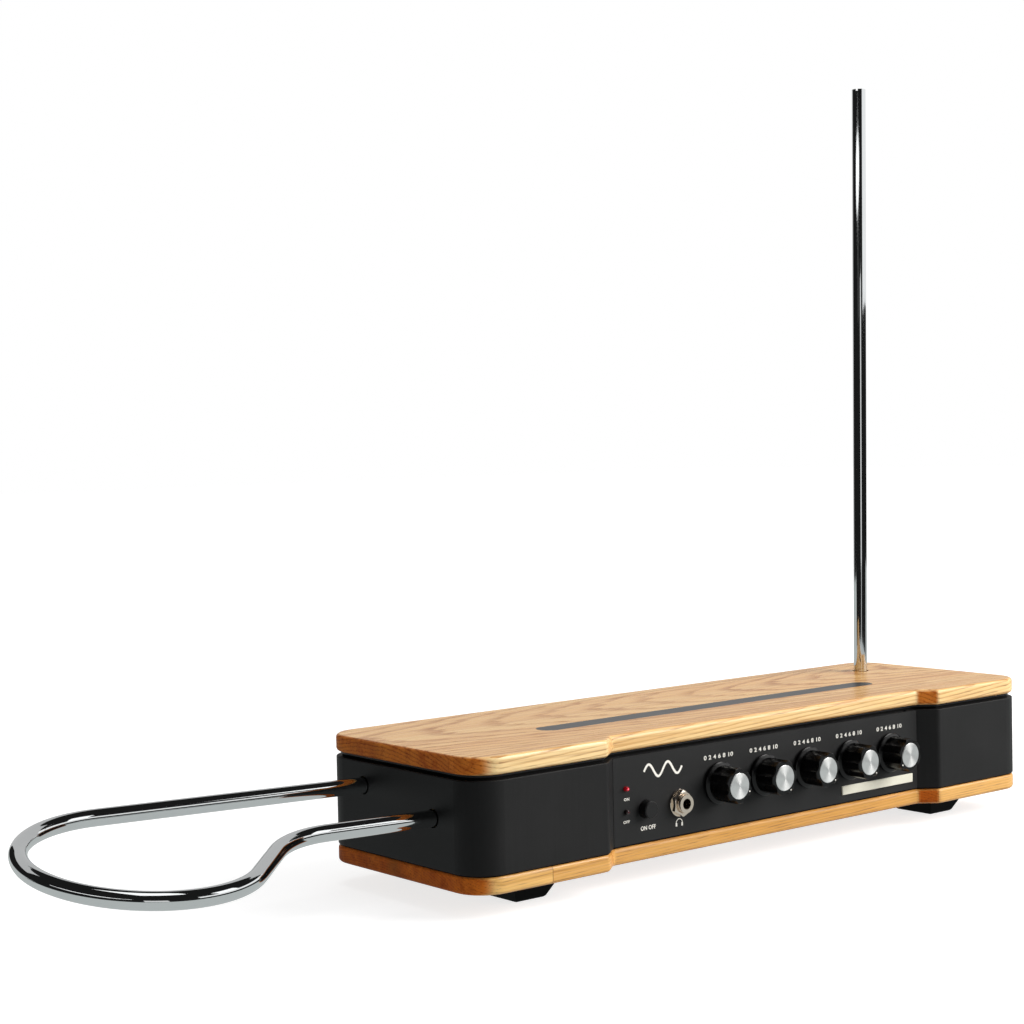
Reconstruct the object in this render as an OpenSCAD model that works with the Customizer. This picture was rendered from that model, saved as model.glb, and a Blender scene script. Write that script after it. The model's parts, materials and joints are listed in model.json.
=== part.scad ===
// Theremin: two wooden plates with a black case between them, a rod antenna for pitch
// that stands on the right, and a bent loop antenna for volume on the left.
// Sizes are millimetres. The origin is the mouth of the stand thread, in the middle of the
// bottom plate's underside. +X is to the right seen from the front panel, +Y to the rear, +Z up.

/* [Cabinet] */
// Width of both plates
cabinet_w = 486; // [460:2:500]
// Depth of both plates
cabinet_d = 148; // [144:1:156]
// Radius of the four upright corners
corner_r = 20; // [17:0.5:24]
// Thickness of the bottom plate
bottom_t = 10.2; // [9:0.1:12]
// Thickness of the top plate
top_t = 10.3; // [9:0.1:12]
// Height of the black case
case_h = 52.8; // [52:0.1:56]
// Wall thickness of the case
wall = 3; // [2.6:0.1:3.4]
// Radius that softens the plates' long edges
plate_ease = 2.2; // [1:0.1:2.6]
// Gap of the sealing strip under the case
bottom_seam = 0.6; // [0.4:0.1:1]
// Gap of the shadow line over the case
top_seam = 1.4; // [1:0.1:2]
// Thickness of the steel lid under the top plate
lid_t = 1.4; // [1:0.1:2]
// How far the lid's edge lies inside the plates' edge
lid_inset = 2.8; // [1:0.1:4]

/* [Front recess] */
// Width of the recessed front panel
recess_w = 273.4; // [268:0.2:282]
// Place of the recess's middle
recess_x = 2.4; // [-4:0.1:4]
// How far the panel lies behind the ends' front faces
recess_d = 9.5; // [8:0.5:10]
// How far each slope at the recess's ends runs sideways
recess_run = 11.5; // [9:0.5:13]
// Radius of the recess's upright edges
recess_r = 5; // [3:0.5:6]

/* [Feet] */
// Height of a foot
foot_h = 14; // [12:1:18]
// Width of a foot where it touches the table
foot_w = 22; // [18:1:26]
// Length of a foot where it touches the table
foot_l = 30; // [26:1:34]
// Slope of a foot's sides from upright, in degrees
foot_slope = 27; // [15:1:30]
// Distance of the feet from the middle, sideways
foot_x = 184; // [170:1:190]
// Distance of the feet from the middle, front to back
foot_y = 32.5; // [30:0.5:36]

/* [Controls] */
// Distance between two knobs
knob_pitch = 39.6; // [36:0.1:40]
// Place of the leftmost knob
first_knob_x = -47.5; // [-50:0.5:-45]
// Height of the knobs' axes
knob_z = 38.3; // [36:0.1:40]
// How far a knob stands out from the panel
knob_reach = 18; // [16:0.5:20]
// Diameter of a knob's skirt
skirt_d = 26; // [24:0.5:28]
// Diameter over a knob's lobes
lobe_d = 21.8; // [20:0.1:22.5]
// Number of lobes on a knob
lobes = 6; // [5:1:8]
// Diameter of the aluminium cap
cap_d = 16; // [14:0.5:16.5]
// Diameter of the mute button
button_d = 10.5; // [8:0.5:12]
// How far the mute button stands out
button_reach = 5.5; // [4:0.5:7]

/* [Knob settings] */
// Setting of the headphone volume, clockwise from straight up
phones_volume_at = 116; // [-150:1:150]
// Setting of the volume range
volume_range_at = 147; // [-150:1:150]
// Setting of the pitch range
pitch_range_at = 138; // [-150:1:150]
// Setting of the waveform
waveform_at = 141; // [-150:1:150]
// Setting of the brightness
brightness_at = -127; // [-150:1:150]

/* [Antennas] */
// Outer diameter of both antenna tubes
tube_d = 9.5; // [8.5:0.1:9.5]
// Wall thickness of both antenna tubes
tube_wall = 1; // [0.8:0.1:1.5]
// Height of the rod above the top plate
rod_reach = 417.5; // [380:0.5:460]
// Lean of the rod in its loose socket, in degrees
rod_lean = 0.65; // [0:0.05:0.7]
// Rise of the loop away from the cabinet, in degrees
loop_rise = 1.7; // [0:0.1:2.5]
// Tilt of the loop down towards the front, in degrees
loop_tilt = 8.8; // [0:0.1:10]
// Distance between the loop's two legs
leg_gap = 67.9; // [64:0.1:70]
// Straight length of the rear leg outside the cabinet
rear_leg = 172.5; // [160:0.5:190]

/* [Hidden] */
$fn = 64;

// Clearances and fits
eps = 0.01;
hair = 0.05;         // radial play of a running or push fit
gap = 0.3;           // play between pieces that move or drop in
arc_steps = 4;       // straight bits in an eased edge
corner_bits = 12;    // straight bits in a corner of a hidden outline
cut_steps = 3;       // straight bits in a rounding of the recess

// Heights, from the table side up
case_z0 = bottom_t + bottom_seam;
case_z1 = case_z0 + case_h;
lid_z0 = case_z1 + top_seam;
top_z0 = lid_z0 + lid_t;
top_z1 = top_z0 + top_t;

// Plan sizes
half_w = cabinet_w / 2;
half_d = cabinet_d / 2;
recess_half = recess_w / 2;
recess_slope = atan2(recess_d, recess_run);
front_y = -half_d;
panel_face = front_y + recess_d;
panel_t = 2;
panel_back = panel_face + panel_t;
inner_x = half_w - wall;
inner_y = half_d - wall;

// Screws that tie bottom plate, case, lid and top plate together
tie_d = 4;
tie_inset = 8.5;
tie_diag = (corner_r - tie_inset) / sqrt(2);
tie_corner = [half_w - corner_r + tie_diag, half_d - corner_r + tie_diag];
tie_front_x = 160;
tie_rear_x = 130;
tie_points = [
    for (sx = [-1, 1]) for (sy = [-1, 1]) [sx * tie_corner[0], sy * tie_corner[1]],
    for (sx = [-1, 1]) [sx * tie_front_x, -half_d + tie_inset],
    for (sx = [-1, 1]) [sx * tie_rear_x, half_d - tie_inset]
];
post_d = 12;
insert_d = 6;
insert_l = 7.6;
head_pocket = 4.2;

// Stand thread, 5/8 inch with 27 turns, cut to its minor diameter
stand_bore_r = 7.45;
stand_l = 14;
stand_flange_d = 38;
stand_flange_t = 2.4;
stand_barrel_d = 22;
stand_screw_ring = 30;

// Front panel places
knob_settings = [phones_volume_at, volume_range_at, pitch_range_at, waveform_at, brightness_at];
led_x = -124.3;
power_led_z = 44.5;
mute_led_z = 30.7;
button_x = -108.5;
button_z = 30.5;
phones_x = -81;
phones_z = 30.5;
board_y = -52.5;
board_t = 1.6;
bush_d = 7;
shaft_d = 6;

// Jacks for 6.35 mm plugs
jack_r = 3.25;
jack_bush_d = 11;
jack_depth = 25;
jack_stand_out = 6.5;

// Main board
main_z = bottom_t + 8;
main_top = main_z + board_t;
main_w = 300;
main_y0 = -34;
main_y1 = 38;

// Pitch antenna
rod_x = 196.3;
rod_y = 33.8;
lean_dir = -39;
socket_floor = 32;
socket_top = lid_z0;
socket_mid = (socket_floor + socket_top) / 2;
// The rod crosses the upright socket's axis half way down it
lean_step = (top_z1 - socket_mid) * tan(rod_lean);
socket_x = rod_x - lean_step * cos(lean_dir);
socket_y = rod_y - lean_step * sin(lean_dir);
rod_bore_d = tube_d + 0.5;
rod_slot_dir = 205;
rod_slot_w = 1.4;
rod_slot_l = 2;

// Volume antenna: plane of the loop, with local -X away from the cabinet
loop_y = -34.3;
loop_z = 39.4;
leg_in = 32;
wide_bend_r = 71;
wide_bend = 83;
round_bend_r = 60;
return_bend_r = 62.5;
return_bend = 44.5;
leg_bore_d = tube_d + 0.2;
leg_hole_d = tube_d + 1.4;

// Rear panel
rear_t = 2;
rear_w = 204;
rear_z0 = 13;
rear_z1 = 61;
rear_face = inner_y;
rear_back = inner_y - rear_t;
rear_window_w = 184;
rear_window_z0 = 18;
rear_window_z1 = 56;
rear_z = 37;
rear_jacks_x = [-70, -42, -14];
inlet_x = 34;
switch_x = 68;

// ---------------------------------------------------------------- shared shapes

function tidy(x) = round(x * 1000) / 1000;

// Corners of the plan outline [x, y, radius], anticlockwise from the front left one.
// Each is moved in by "inset", so that smaller outlines run parallel to the plates' edge.
function outline(inset) =
    let (w = half_w - inset,
         d = half_d - inset,
         shift = tidy(inset * tan(recess_slope / 2)),
         inner = recess_half + shift,
         outer = recess_half + recess_run + shift,
         round_out = max(recess_r - inset, 0.4),
         round_in = recess_r + inset)
    [
        [-w, -d, corner_r - inset],
        [recess_x - outer, -d, round_out],
        [recess_x - inner, -d + recess_d, round_in],
        [recess_x + inner, -d + recess_d, round_in],
        [recess_x + outer, -d, round_out],
        [w, -d, corner_r - inset],
        [w, d, corner_r - inset],
        [-w, d, corner_r - inset]
    ];

function heading(a, b) = atan2(b[1] - a[1], b[0] - a[0]);
function wrapped(a) = a > 180 ? a - 360 : a <= -180 ? a + 360 : a;
function turn_at(path, i) =
    let (n = len(path))
    wrapped(heading(path[i], path[(i + 1) % n]) - heading(path[(i + n - 1) % n], path[i]));

// Straight length that the rounding of corner i takes away, and the radius that goes with it
function trim_at(path, i) = tidy(path[i][2] * tan(abs(turn_at(path, i)) / 2));
function round_at(path, i) = trim_at(path, i) / tan(abs(turn_at(path, i)) / 2);

// Upright band section: depth inwards from the outline, then height, outer edges rounded
function band(depth, z0, z1, ease) = concat(
    [[depth, z0]],
    [for (i = [0 : arc_steps]) let (a = 90 * i / arc_steps)
        [ease * (1 - sin(a)), z0 + ease * (1 - cos(a))]],
    [for (i = [0 : arc_steps]) let (a = 90 * i / arc_steps)
        [ease * (1 - cos(a)), z1 - ease * (1 - sin(a))]],
    [[depth, z1]]
);

// Outline as plain points, with each corner in short straight bits
function plan(inset) =
    let (path = outline(inset), n = len(path))
    [
        for (i = [0 : n - 1])
            let (a = heading(path[(i + n - 1) % n], path[i]),
                 turn = turn_at(path, i),
                 side = turn > 0 ? 1 : -1,
                 r = round_at(path, i),
                 t = trim_at(path, i),
                 middle = [path[i][0], path[i][1]]
                     + [-t * cos(a) - side * r * sin(a), -t * sin(a) + side * r * cos(a)])
            for (k = [0 : corner_bits])
                let (b = a - side * 90 + turn * k / corner_bits)
                middle + r * [cos(b), sin(b)]
    ];

// Straight stretch of a band from corner i of the path to the next
module band_straight(path, i, section) {
    j = (i + 1) % len(path);
    a = heading(path[i], path[j]);
    span = norm([path[j][0] - path[i][0], path[j][1] - path[i][1]]);
    translate([path[i][0], path[i][1], 0])
        rotate(a)
            translate([trim_at(path, i), 0, 0])
                rotate([90, 0, 90])
                    linear_extrude(span - trim_at(path, i) - trim_at(path, j))
                        polygon(section);
}

// Rounded stretch of a band at corner i of the path
module band_corner(path, i, section) {
    n = len(path);
    a = heading(path[(i + n - 1) % n], path[i]);
    turn = turn_at(path, i);
    r = round_at(path, i);
    side = turn > 0 ? 1 : -1;
    translate([path[i][0], path[i][1], 0])
        rotate(a)
            translate([-trim_at(path, i), side * r, 0])
                rotate(turn > 0 ? -90 : 90 + turn)
                    rotate_extrude(angle = abs(turn))
                        polygon([for (p = section) [max(r - side * p[0], 0), p[1]]]);
}

// Band all the way round a path
module band_ring(path, section) {
    for (i = [0 : len(path) - 1]) {
        band_straight(path, i, section);
        band_corner(path, i, section);
    }
}

// Full plate without the recess, with rounded corners and rounded outer edges
module slab(inset, z0, z1, ease) {
    w = half_w - inset;
    d = half_d - inset;
    r = corner_r - inset;
    band_ring([[-w, -d, r], [w, -d, r], [w, d, r], [-w, d, r]], band(r, z0, z1, ease));
    translate([-w + r, -d + r, z0])
        cube([2 * (w - r), 2 * (d - r), z1 - z0]);
}

// Sections of the cut for the recess [inset, height]; the slopes run on past both faces
function cut_levels(z0, z1, ease) =
    let (up = [for (k = [0 : cut_steps]) let (a = 90 * k / cut_steps)
             [ease * (1 - sin(a)), z0 + ease * (1 - cos(a))]],
         down = [for (k = [0 : cut_steps]) let (a = 90 * k / cut_steps)
             [ease * (1 - cos(a)), z1 - ease * (1 - sin(a))]],
         over = 0.3 / (up[1][1] - up[0][1]))
    concat(
        [up[0] + over * (up[0] - up[1])],
        [for (k = [1 : cut_steps]) up[k]],
        [for (k = [0 : cut_steps - 1]) down[k]],
        [down[cut_steps] + over * (down[cut_steps] - down[cut_steps - 1])]
    );

// Line of the recess, from a point in front of the cabinet round its four corners
function cut_line(inset, sharp) =
    let (path = outline(inset),
         corners = [for (i = [1 : 4])
             let (a = heading(path[i - 1], path[i]),
                  bits = sharp && (i == 2 || i == 3) ? 0 : cut_steps,
                  turn = turn_at(path, i),
                  side = turn > 0 ? 1 : -1,
                  r = bits == 0 ? 0 : round_at(path, i),
                  t = bits == 0 ? 0 : trim_at(path, i),
                  middle = [path[i][0] - t * cos(a) - side * r * sin(a),
                            path[i][1] - t * sin(a) + side * r * cos(a)])
             for (k = [0 : bits])
                 let (b = a - side * 90 + turn * k / max(bits, 1))
                 middle + r * [cos(b), sin(b)]],
         n = len(corners),
         lead = 16 / norm(corners[0] - corners[1]))
    concat(
        [[0, -half_d - 8 + inset]],
        [corners[0] + lead * (corners[0] - corners[1])],
        corners,
        [corners[n - 1] + lead * (corners[n - 1] - corners[n - 2])]
    );

// Cut for the recess in the front edge of a plate, which rounds the plate's edges there too
module recess_cut(inset, sharp, z0, z1, ease) {
    levels = cut_levels(z0, z1, ease);
    n = len(cut_line(inset, sharp));
    m = len(levels);
    polyhedron(
        points = [for (s = levels) for (p = cut_line(inset + s[0], sharp)) [p[0], p[1], s[1]]],
        faces = concat(
            [concat([0], [for (j = [n - 1 : -1 : 1]) j])],
            [[for (j = [0 : n - 1]) (m - 1) * n + j]],
            [for (i = [0 : m - 2]) for (j = [0 : n - 1]) let (k = (j + 1) % n)
                [i * n + j, i * n + k, (i + 1) * n + k, (i + 1) * n + j]]
        )
    );
}

// Flat ring that follows the outline
module strip(inset, width, z0, z1) {
    translate([0, 0, z0])
        linear_extrude(z1 - z0)
            difference() {
                polygon(plan(inset));
                polygon(plan(inset + width));
            }
}

module tie_holes(d, z0, z1) {
    for (p = tie_points)
        translate([p[0], p[1], z0])
            cylinder(d = d, h = z1 - z0);
}

// Round bar, tube or hole that starts at y0 and runs towards the front (negative Y)
module bar_front(d, y0, length) {
    translate([0, y0, 0])
        rotate([90, 0, 0])
            cylinder(d = d, h = length);
}

module hex_front(across, y0, length) {
    translate([0, y0, 0])
        rotate([90, 0, 0])
            rotate(30)
                cylinder(d = across / cos(30), h = length, $fn = 6);
}

module knob_place(i) {
    translate([first_knob_x + i * knob_pitch, 0, knob_z])
        children();
}

// Slot outline with two round ends, lying flat
module long_pill(length, width, z0, z1) {
    translate([-length / 2 + width / 2, -width / 2, z0])
        cube([length - width, width, z1 - z0]);
    for (side = [-1, 1])
        translate([side * (length - width) / 2, 0, z0])
            cylinder(d = width, h = z1 - z0);
}

// ---------------------------------------------------------------- wooden plates and lid

inlay_y = -15;
inlay_l = 296;
inlay_w = 16;
inlay_t = 2.4;

module top_plate() {
    color("burlywood")
    difference() {
        slab(0, top_z0, top_z1, plate_ease);
        recess_cut(0, false, top_z0, top_z1, plate_ease + 0.1);
        translate([0, inlay_y, 0])
            long_pill(inlay_l + 0.2, inlay_w + 0.2, top_z1 - inlay_t, top_z1 + 1);
        tie_holes(insert_d + 2 * hair, top_z0 - 1, top_z0 + insert_l);
        translate([rod_x, rod_y, top_z0 - 1])
            cylinder(d = rod_bore_d + 1.6, h = top_t + 2);
    }
}

module top_inlay() {
    color("dimgray")
    translate([0, inlay_y, 0])
        long_pill(inlay_l, inlay_w, top_z1 - inlay_t, top_z1);
}

module lid_plate() {
    color("black")
    difference() {
        slab(lid_inset, lid_z0, top_z0, 0.3);
        recess_cut(lid_inset, false, lid_z0, top_z0, 0.35);
        tie_holes(tie_d + 0.5, lid_z0 - 1, top_z0 + 1);
        translate([rod_x, rod_y, lid_z0 - 1])
            cylinder(d = rod_bore_d + 1.6, h = lid_t + 2);
    }
}

module neck_gasket() {
    color("black")
    strip(lid_inset + 0.7, 2.7, case_z1, lid_z0);
}

module bottom_gasket() {
    color("black")
    strip(1, 3, bottom_t, case_z0);
}

module bottom_plate() {
    color("burlywood")
    difference() {
        slab(0, 0, bottom_t, plate_ease);
        recess_cut(0, false, 0, bottom_t, plate_ease + 0.1);
        tie_holes(9, -1, head_pocket);
        tie_holes(tie_d + 0.5, 0, bottom_t + 1);
        translate([0, 0, -1]) {
            cylinder(d = stand_flange_d + 0.4, h = stand_flange_t + 1);
            cylinder(d = stand_barrel_d + 0.4, h = bottom_t + 2);
        }
        for (p = stand_screw_points)
            translate([p[0], p[1], 0])
                cylinder(d = 3, h = bottom_t - 1);
        for (p = foot_points)
            translate([p[0], p[1], -1])
                cylinder(d = 4, h = bottom_t);
        for (p = standoff_points)
            translate([p[0], p[1], 3])
                cylinder(d = 3, h = bottom_t);
    }
}

// ---------------------------------------------------------------- black case

// The recess keeps sharp inner corners here, where the front panel ends.
// A flange turned inwards at the top carries the seal under the lid.
flange_w = 9;
flange_t = 1.5;

module case_walls() {
    difference() {
        slab(0, case_z0, case_z1, 0.6);
        recess_cut(0, true, case_z0, case_z1, 0.7);
        translate([0, 0, case_z0 - 1])
            linear_extrude(case_h - flange_t + 1)
                polygon(plan(wall));
        translate([0, 0, case_z0])
            linear_extrude(case_h + 1)
                polygon(plan(flange_w));
        translate([recess_x - recess_half, -half_d - 1, case_z0 - 1])
            cube([recess_w, recess_d + wall + 2, case_h + 2]);
    }
}

module case_shell() {
    color([0.12, 0.12, 0.13])
    difference() {
        union() {
            case_walls();
            for (p = tie_points)
                translate([p[0], p[1], case_z0])
                    cylinder(d = post_d, h = case_h);
            for (side = [-1, 1])
                panel_lip(side);
        }
        tie_holes(tie_d + 0.5, case_z0 - 1, case_z1 + 1);
        for (side = [-1, 1])
            panel_stud_places(side)
                bar_front(3.5, panel_back + 8, 12);
        translate([-rear_window_w / 2, inner_y - 1, rear_window_z0])
            cube([rear_window_w, wall + 2, rear_window_z1 - rear_window_z0]);
        rear_screw_places() {
            bar_front(3.3, half_d + 1, wall + 2);
            translate([0, half_d + eps, 0])
                rotate([90, 0, 0])
                    cylinder(d1 = 6.2, d2 = 3.3, h = 1.6);
        }
        in_loop_plane() {
            leg_stub(leg_hole_d, wall + 4);
            translate([0, leg_gap, 0])
                leg_stub(leg_hole_d, wall + 4);
        }
    }
}

// Lip behind each end of the front panel
lip_w = 10;
module panel_lip(side) {
    middle = recess_half + 2.1 - lip_w / 2;
    translate([recess_x + side * middle - lip_w / 2, panel_back, case_z0])
        cube([lip_w, wall, case_h]);
}

// ---------------------------------------------------------------- feet and stand thread

foot_points = [for (sx = [-1, 1]) for (sy = [-1, 1]) [sx * foot_x, sy * foot_y]];
stand_screw_points = [for (i = [0 : 2]) stand_screw_ring / 2 * [cos(90 + 120 * i), sin(90 + 120 * i)]];

// Upright trapezium with its narrow side down and cut corners
function foot_side(width) =
    let (b = width / 2, t = width / 2 + foot_h * tan(foot_slope), c = 0.9)
    [[-b + c, -foot_h], [b - c, -foot_h], [b + c * 0.3, -foot_h + c], [t, 0], [-t, 0],
     [-b - c * 0.3, -foot_h + c]];

module foot(sx, sy) {
    reach = foot_l + foot_w + 2 * foot_h;
    color([0.06, 0.06, 0.06])
    translate([sx * foot_x, sy * foot_y, 0])
    difference() {
        intersection() {
            translate([0, reach / 2, 0])
                rotate([90, 0, 0])
                    linear_extrude(reach)
                        polygon(foot_side(foot_w));
            translate([-reach / 2, 0, 0])
                rotate([90, 0, 90])
                    linear_extrude(reach)
                        polygon(foot_side(foot_l));
        }
        translate([0, 0, -foot_h - 1])
            cylinder(d = 10, h = foot_h - 4 + 1);
        translate([0, 0, -foot_h])
            cylinder(d = 4.4, h = foot_h + 1);
    }
}
module foot_front_left() { foot(-1, -1); }
module foot_front_right() { foot(1, -1); }
module foot_rear_left() { foot(-1, 1); }
module foot_rear_right() { foot(1, 1); }

module stand_bush() {
    color("silver")
    difference() {
        union() {
            cylinder(d = stand_flange_d, h = stand_flange_t);
            cylinder(d = stand_barrel_d, h = stand_l);
        }
        translate([0, 0, -1])
            cylinder(r = stand_bore_r, h = stand_l + 2);
        for (p = stand_screw_points)
            translate([p[0], p[1], -eps]) {
                cylinder(d1 = 5.6, d2 = 3, h = 1.4);
                cylinder(d = 3, h = stand_flange_t + 1);
            }
    }
}

// Wood screws under the cabinet: one in each foot, three in the stand bush
module base_screws() {
    color("silver") {
        for (p = foot_points)
            translate([p[0], p[1], -4 - 2.6]) {
                cylinder(d = 8, h = 2.6);
                cylinder(d = 3.9, h = 2.6 + 4 + 8.2);
            }
        for (p = stand_screw_points)
            translate([p[0], p[1], 0]) {
                cylinder(d1 = 5.4, d2 = 2.8, h = 1.3);
                cylinder(d = 2.8, h = 9);
            }
    }
}

module tie_screws() {
    head_h = 2.6;
    color("silver")
    for (p = tie_points)
        translate([p[0], p[1], head_pocket - head_h])
            difference() {
                union() {
                    cylinder(d = 7.6, h = head_h);
                    cylinder(d = tie_d, h = top_z0 + insert_l - 1 - head_pocket + head_h);
                }
                translate([0, 0, -1])
                    cylinder(d = 3.4, h = 2.6, $fn = 6);
            }
}

module top_inserts() {
    color("goldenrod")
    for (p = tie_points)
        translate([p[0], p[1], top_z0])
            difference() {
                cylinder(d = insert_d, h = insert_l);
                translate([0, 0, -1])
                    cylinder(d = tie_d + 2 * hair, h = insert_l + 2);
            }
}

// ---------------------------------------------------------------- front panel and controls

stud_x = recess_half - 4;
module panel_stud_places(side) {
    for (z = [case_z0 + 8, case_z1 - 8])
        translate([recess_x + side * stud_x, 0, z])
            children();
}

module front_panel() {
    half = recess_half - gap;
    color([0.13, 0.13, 0.14])
    difference() {
        union() {
            translate([recess_x - half, panel_face, case_z0 + gap])
                cube([2 * half, panel_t, case_h - 2 * gap]);
            for (side = [-1, 1])
                panel_stud_places(side)
                    bar_front(3, panel_back + 7, 8);
        }
        for (i = [0 : 4])
            knob_place(i)
                bar_front(bush_d + 0.3, panel_back + 1, panel_t + 2);
        for (z = [power_led_z, mute_led_z])
            translate([led_x, 0, z])
                bar_front(3.2, panel_back + 1, panel_t + 2);
        translate([button_x, 0, button_z])
            bar_front(button_d + 2 * gap, panel_back + 1, panel_t + 2);
        translate([phones_x, 0, phones_z])
            bar_front(jack_bush_d + 0.3, panel_back + 1, panel_t + 2);
    }
}

module panel_nuts() {
    color("silver")
    for (side = [-1, 1])
        panel_stud_places(side)
            difference() {
                hex_front(5.5, panel_back + wall + 2.4, 2.4);
                bar_front(3 + 2 * hair, panel_back + wall + 3, 4);
            }
}

pot_d = 16.4;
pot_l = 8;
rotor_y = panel_back + 4;
rotor_d = 12;
rotor_t = 1.6;
module pots() {
    color("silver")
    for (i = [0 : 4])
        knob_place(i)
            difference() {
                union() {
                    bar_front(pot_d, panel_back + pot_l, pot_l);
                    bar_front(bush_d, panel_back + 1, panel_t + 6);
                    for (x = [-5, 0, 5])
                        translate([x - 0.5, panel_back + pot_l - eps, -pot_d / 2 + 1.5])
                            cube([1, board_y - panel_back - pot_l + eps, 0.6]);
                }
                bar_front(shaft_d + 2 * hair, rotor_y + 1, 20);
                bar_front(rotor_d + 1, rotor_y + rotor_t / 2 + 0.4, rotor_t + 0.8);
            }
}

module pot_nuts() {
    color("silver")
    for (i = [0 : 4])
        knob_place(i)
            difference() {
                union() {
                    bar_front(12, panel_face, 0.5);
                    hex_front(10, panel_face - 0.5, 2);
                }
                bar_front(bush_d + 2 * hair, panel_face + 1, 5);
            }
}

shaft_tip = 15.4;
flat_from = 5.4;
flat_cut = 1.5;
hollow_top = 6;

// Round shaft end with one flat, grown by "play" all round
module d_shaft(play, length) {
    difference() {
        cylinder(d = shaft_d + 2 * play, h = length);
        translate([-shaft_d, shaft_d / 2 - flat_cut + play, -1])
            cube([2 * shaft_d, shaft_d, length + 2]);
    }
}

// The shaft's flat faces away from the knob's pointer, so it turns with the setting
module at_setting(i) {
    knob_place(i)
        translate([0, panel_face, 0])
            rotate([90, 0, 0])
                rotate(-knob_settings[i])
                    children();
}

module shaft(i) {
    color("silver")
    at_setting(i) {
        translate([0, 0, panel_face - rotor_y - rotor_t / 2])
            cylinder(d = rotor_d, h = rotor_t);
        translate([0, 0, panel_face - rotor_y])
            cylinder(d = shaft_d, h = rotor_y - panel_face + flat_from);
        translate([0, 0, flat_from])
            rotate(180)
                d_shaft(0, shaft_tip - flat_from);
    }
}
module shaft_phones_volume() { shaft(0); }
module shaft_volume_range() { shaft(1); }
module shaft_pitch_range() { shaft(2); }
module shaft_waveform() { shaft(3); }
module shaft_brightness() { shaft(4); }

knob_foot = 0.6;
cap_t = 1.2;
cap_floor = knob_reach - cap_t;
flute_r = 5.6;
flute_depth = 1.75;

// Knob with a thin skirt and a lobed grip; its local Z points out of the panel and its
// pointer lobe along local Y
module knob(i) {
    grip_r = lobe_d / 2;
    front = knob_reach - 0.4;
    ease = 0.7;
    color([0.05, 0.05, 0.05])
    at_setting(i)
    difference() {
        union() {
            rotate_extrude()
                polygon([
                    [0, knob_foot],
                    [skirt_d / 2 - 0.3, knob_foot],
                    [skirt_d / 2, knob_foot + 0.3],
                    [skirt_d / 2, knob_foot + 1.5],
                    [skirt_d / 2 - 0.5, knob_foot + 1.9],
                    [grip_r, knob_foot + 2.6],
                    [0, knob_foot + 2.6]
                ]);
            difference() {
                rotate_extrude()
                    polygon(concat(
                        [[0, knob_foot + 2], [grip_r, knob_foot + 2]],
                        [for (k = [0 : arc_steps]) let (a = 90 * k / arc_steps)
                            [grip_r - ease * (1 - cos(a)), front - ease * (1 - sin(a))]],
                        [[0, front]]
                    ));
                for (k = [0 : lobes - 1])
                    rotate(360 * (k + 0.5) / lobes)
                        translate([0, grip_r - flute_depth + flute_r, knob_foot + 2.6])
                            cylinder(r = flute_r, h = knob_reach);
            }
        }
        translate([0, 0, cap_floor])
            cylinder(d = cap_d + 2 * hair, h = knob_reach);
        translate([0, 0, -1])
            cylinder(d = 15, h = 1 + hollow_top);
        rotate(180)
            translate([0, 0, hollow_top - 1])
                d_shaft(hair, shaft_tip + 0.3 - hollow_top + 1);
    }
}
module knob_phones_volume() { knob(0); }
module knob_volume_range() { knob(1); }
module knob_pitch_range() { knob(2); }
module knob_waveform() { knob(3); }
module knob_brightness() { knob(4); }

module cap(i) {
    color("gainsboro")
    at_setting(i)
        rotate_extrude()
            polygon([
                [0, cap_floor],
                [cap_d / 2, cap_floor],
                [cap_d / 2, cap_floor + cap_t - 0.3],
                [cap_d / 2 - 0.3, cap_floor + cap_t],
                [0, cap_floor + cap_t]
            ]);
}
module cap_phones_volume() { cap(0); }
module cap_volume_range() { cap(1); }
module cap_pitch_range() { cap(2); }
module cap_waveform() { cap(3); }
module cap_brightness() { cap(4); }

stem_d = 3.6;
module mute_button() {
    color([0.07, 0.07, 0.07])
    translate([button_x, panel_face, button_z])
        rotate([90, 0, 0])
            rotate_extrude()
                polygon([
                    [0, -8.4],
                    [stem_d / 2, -8.4],
                    [stem_d / 2, -4.3],
                    [button_d / 2 + 1.2, -4.3],
                    [button_d / 2 + 1.2, -panel_t - gap],
                    [button_d / 2, -panel_t - gap],
                    [button_d / 2, button_reach - 0.6],
                    [button_d / 2 - 0.6, button_reach],
                    [0, button_reach]
                ]);
}

module mute_switch() {
    color("dimgray")
    translate([button_x, 0, button_z])
        difference() {
            translate([-4, board_y - 4, -4])
                cube([8, 4, 8]);
            bar_front(stem_d + 2 * gap, board_y - 0.2, 6);
        }
}

module led(z) {
    translate([led_x, 0, z]) {
        bar_front(3, panel_back + 2, 5);
        bar_front(3.8, panel_back + 2.8, 0.8);
        translate([0, panel_face - 1, 0])
            sphere(d = 3);
        for (x = [-1.27, 1.27])
            translate([x - 0.25, panel_back + 2.7, -0.25])
                cube([0.5, board_y - panel_back - 2.7, 0.5]);
    }
}
module power_led() {
    color("red")
    led(power_led_z);
}
module mute_led() {
    color("darkred")
    led(mute_led_z);
}

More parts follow.
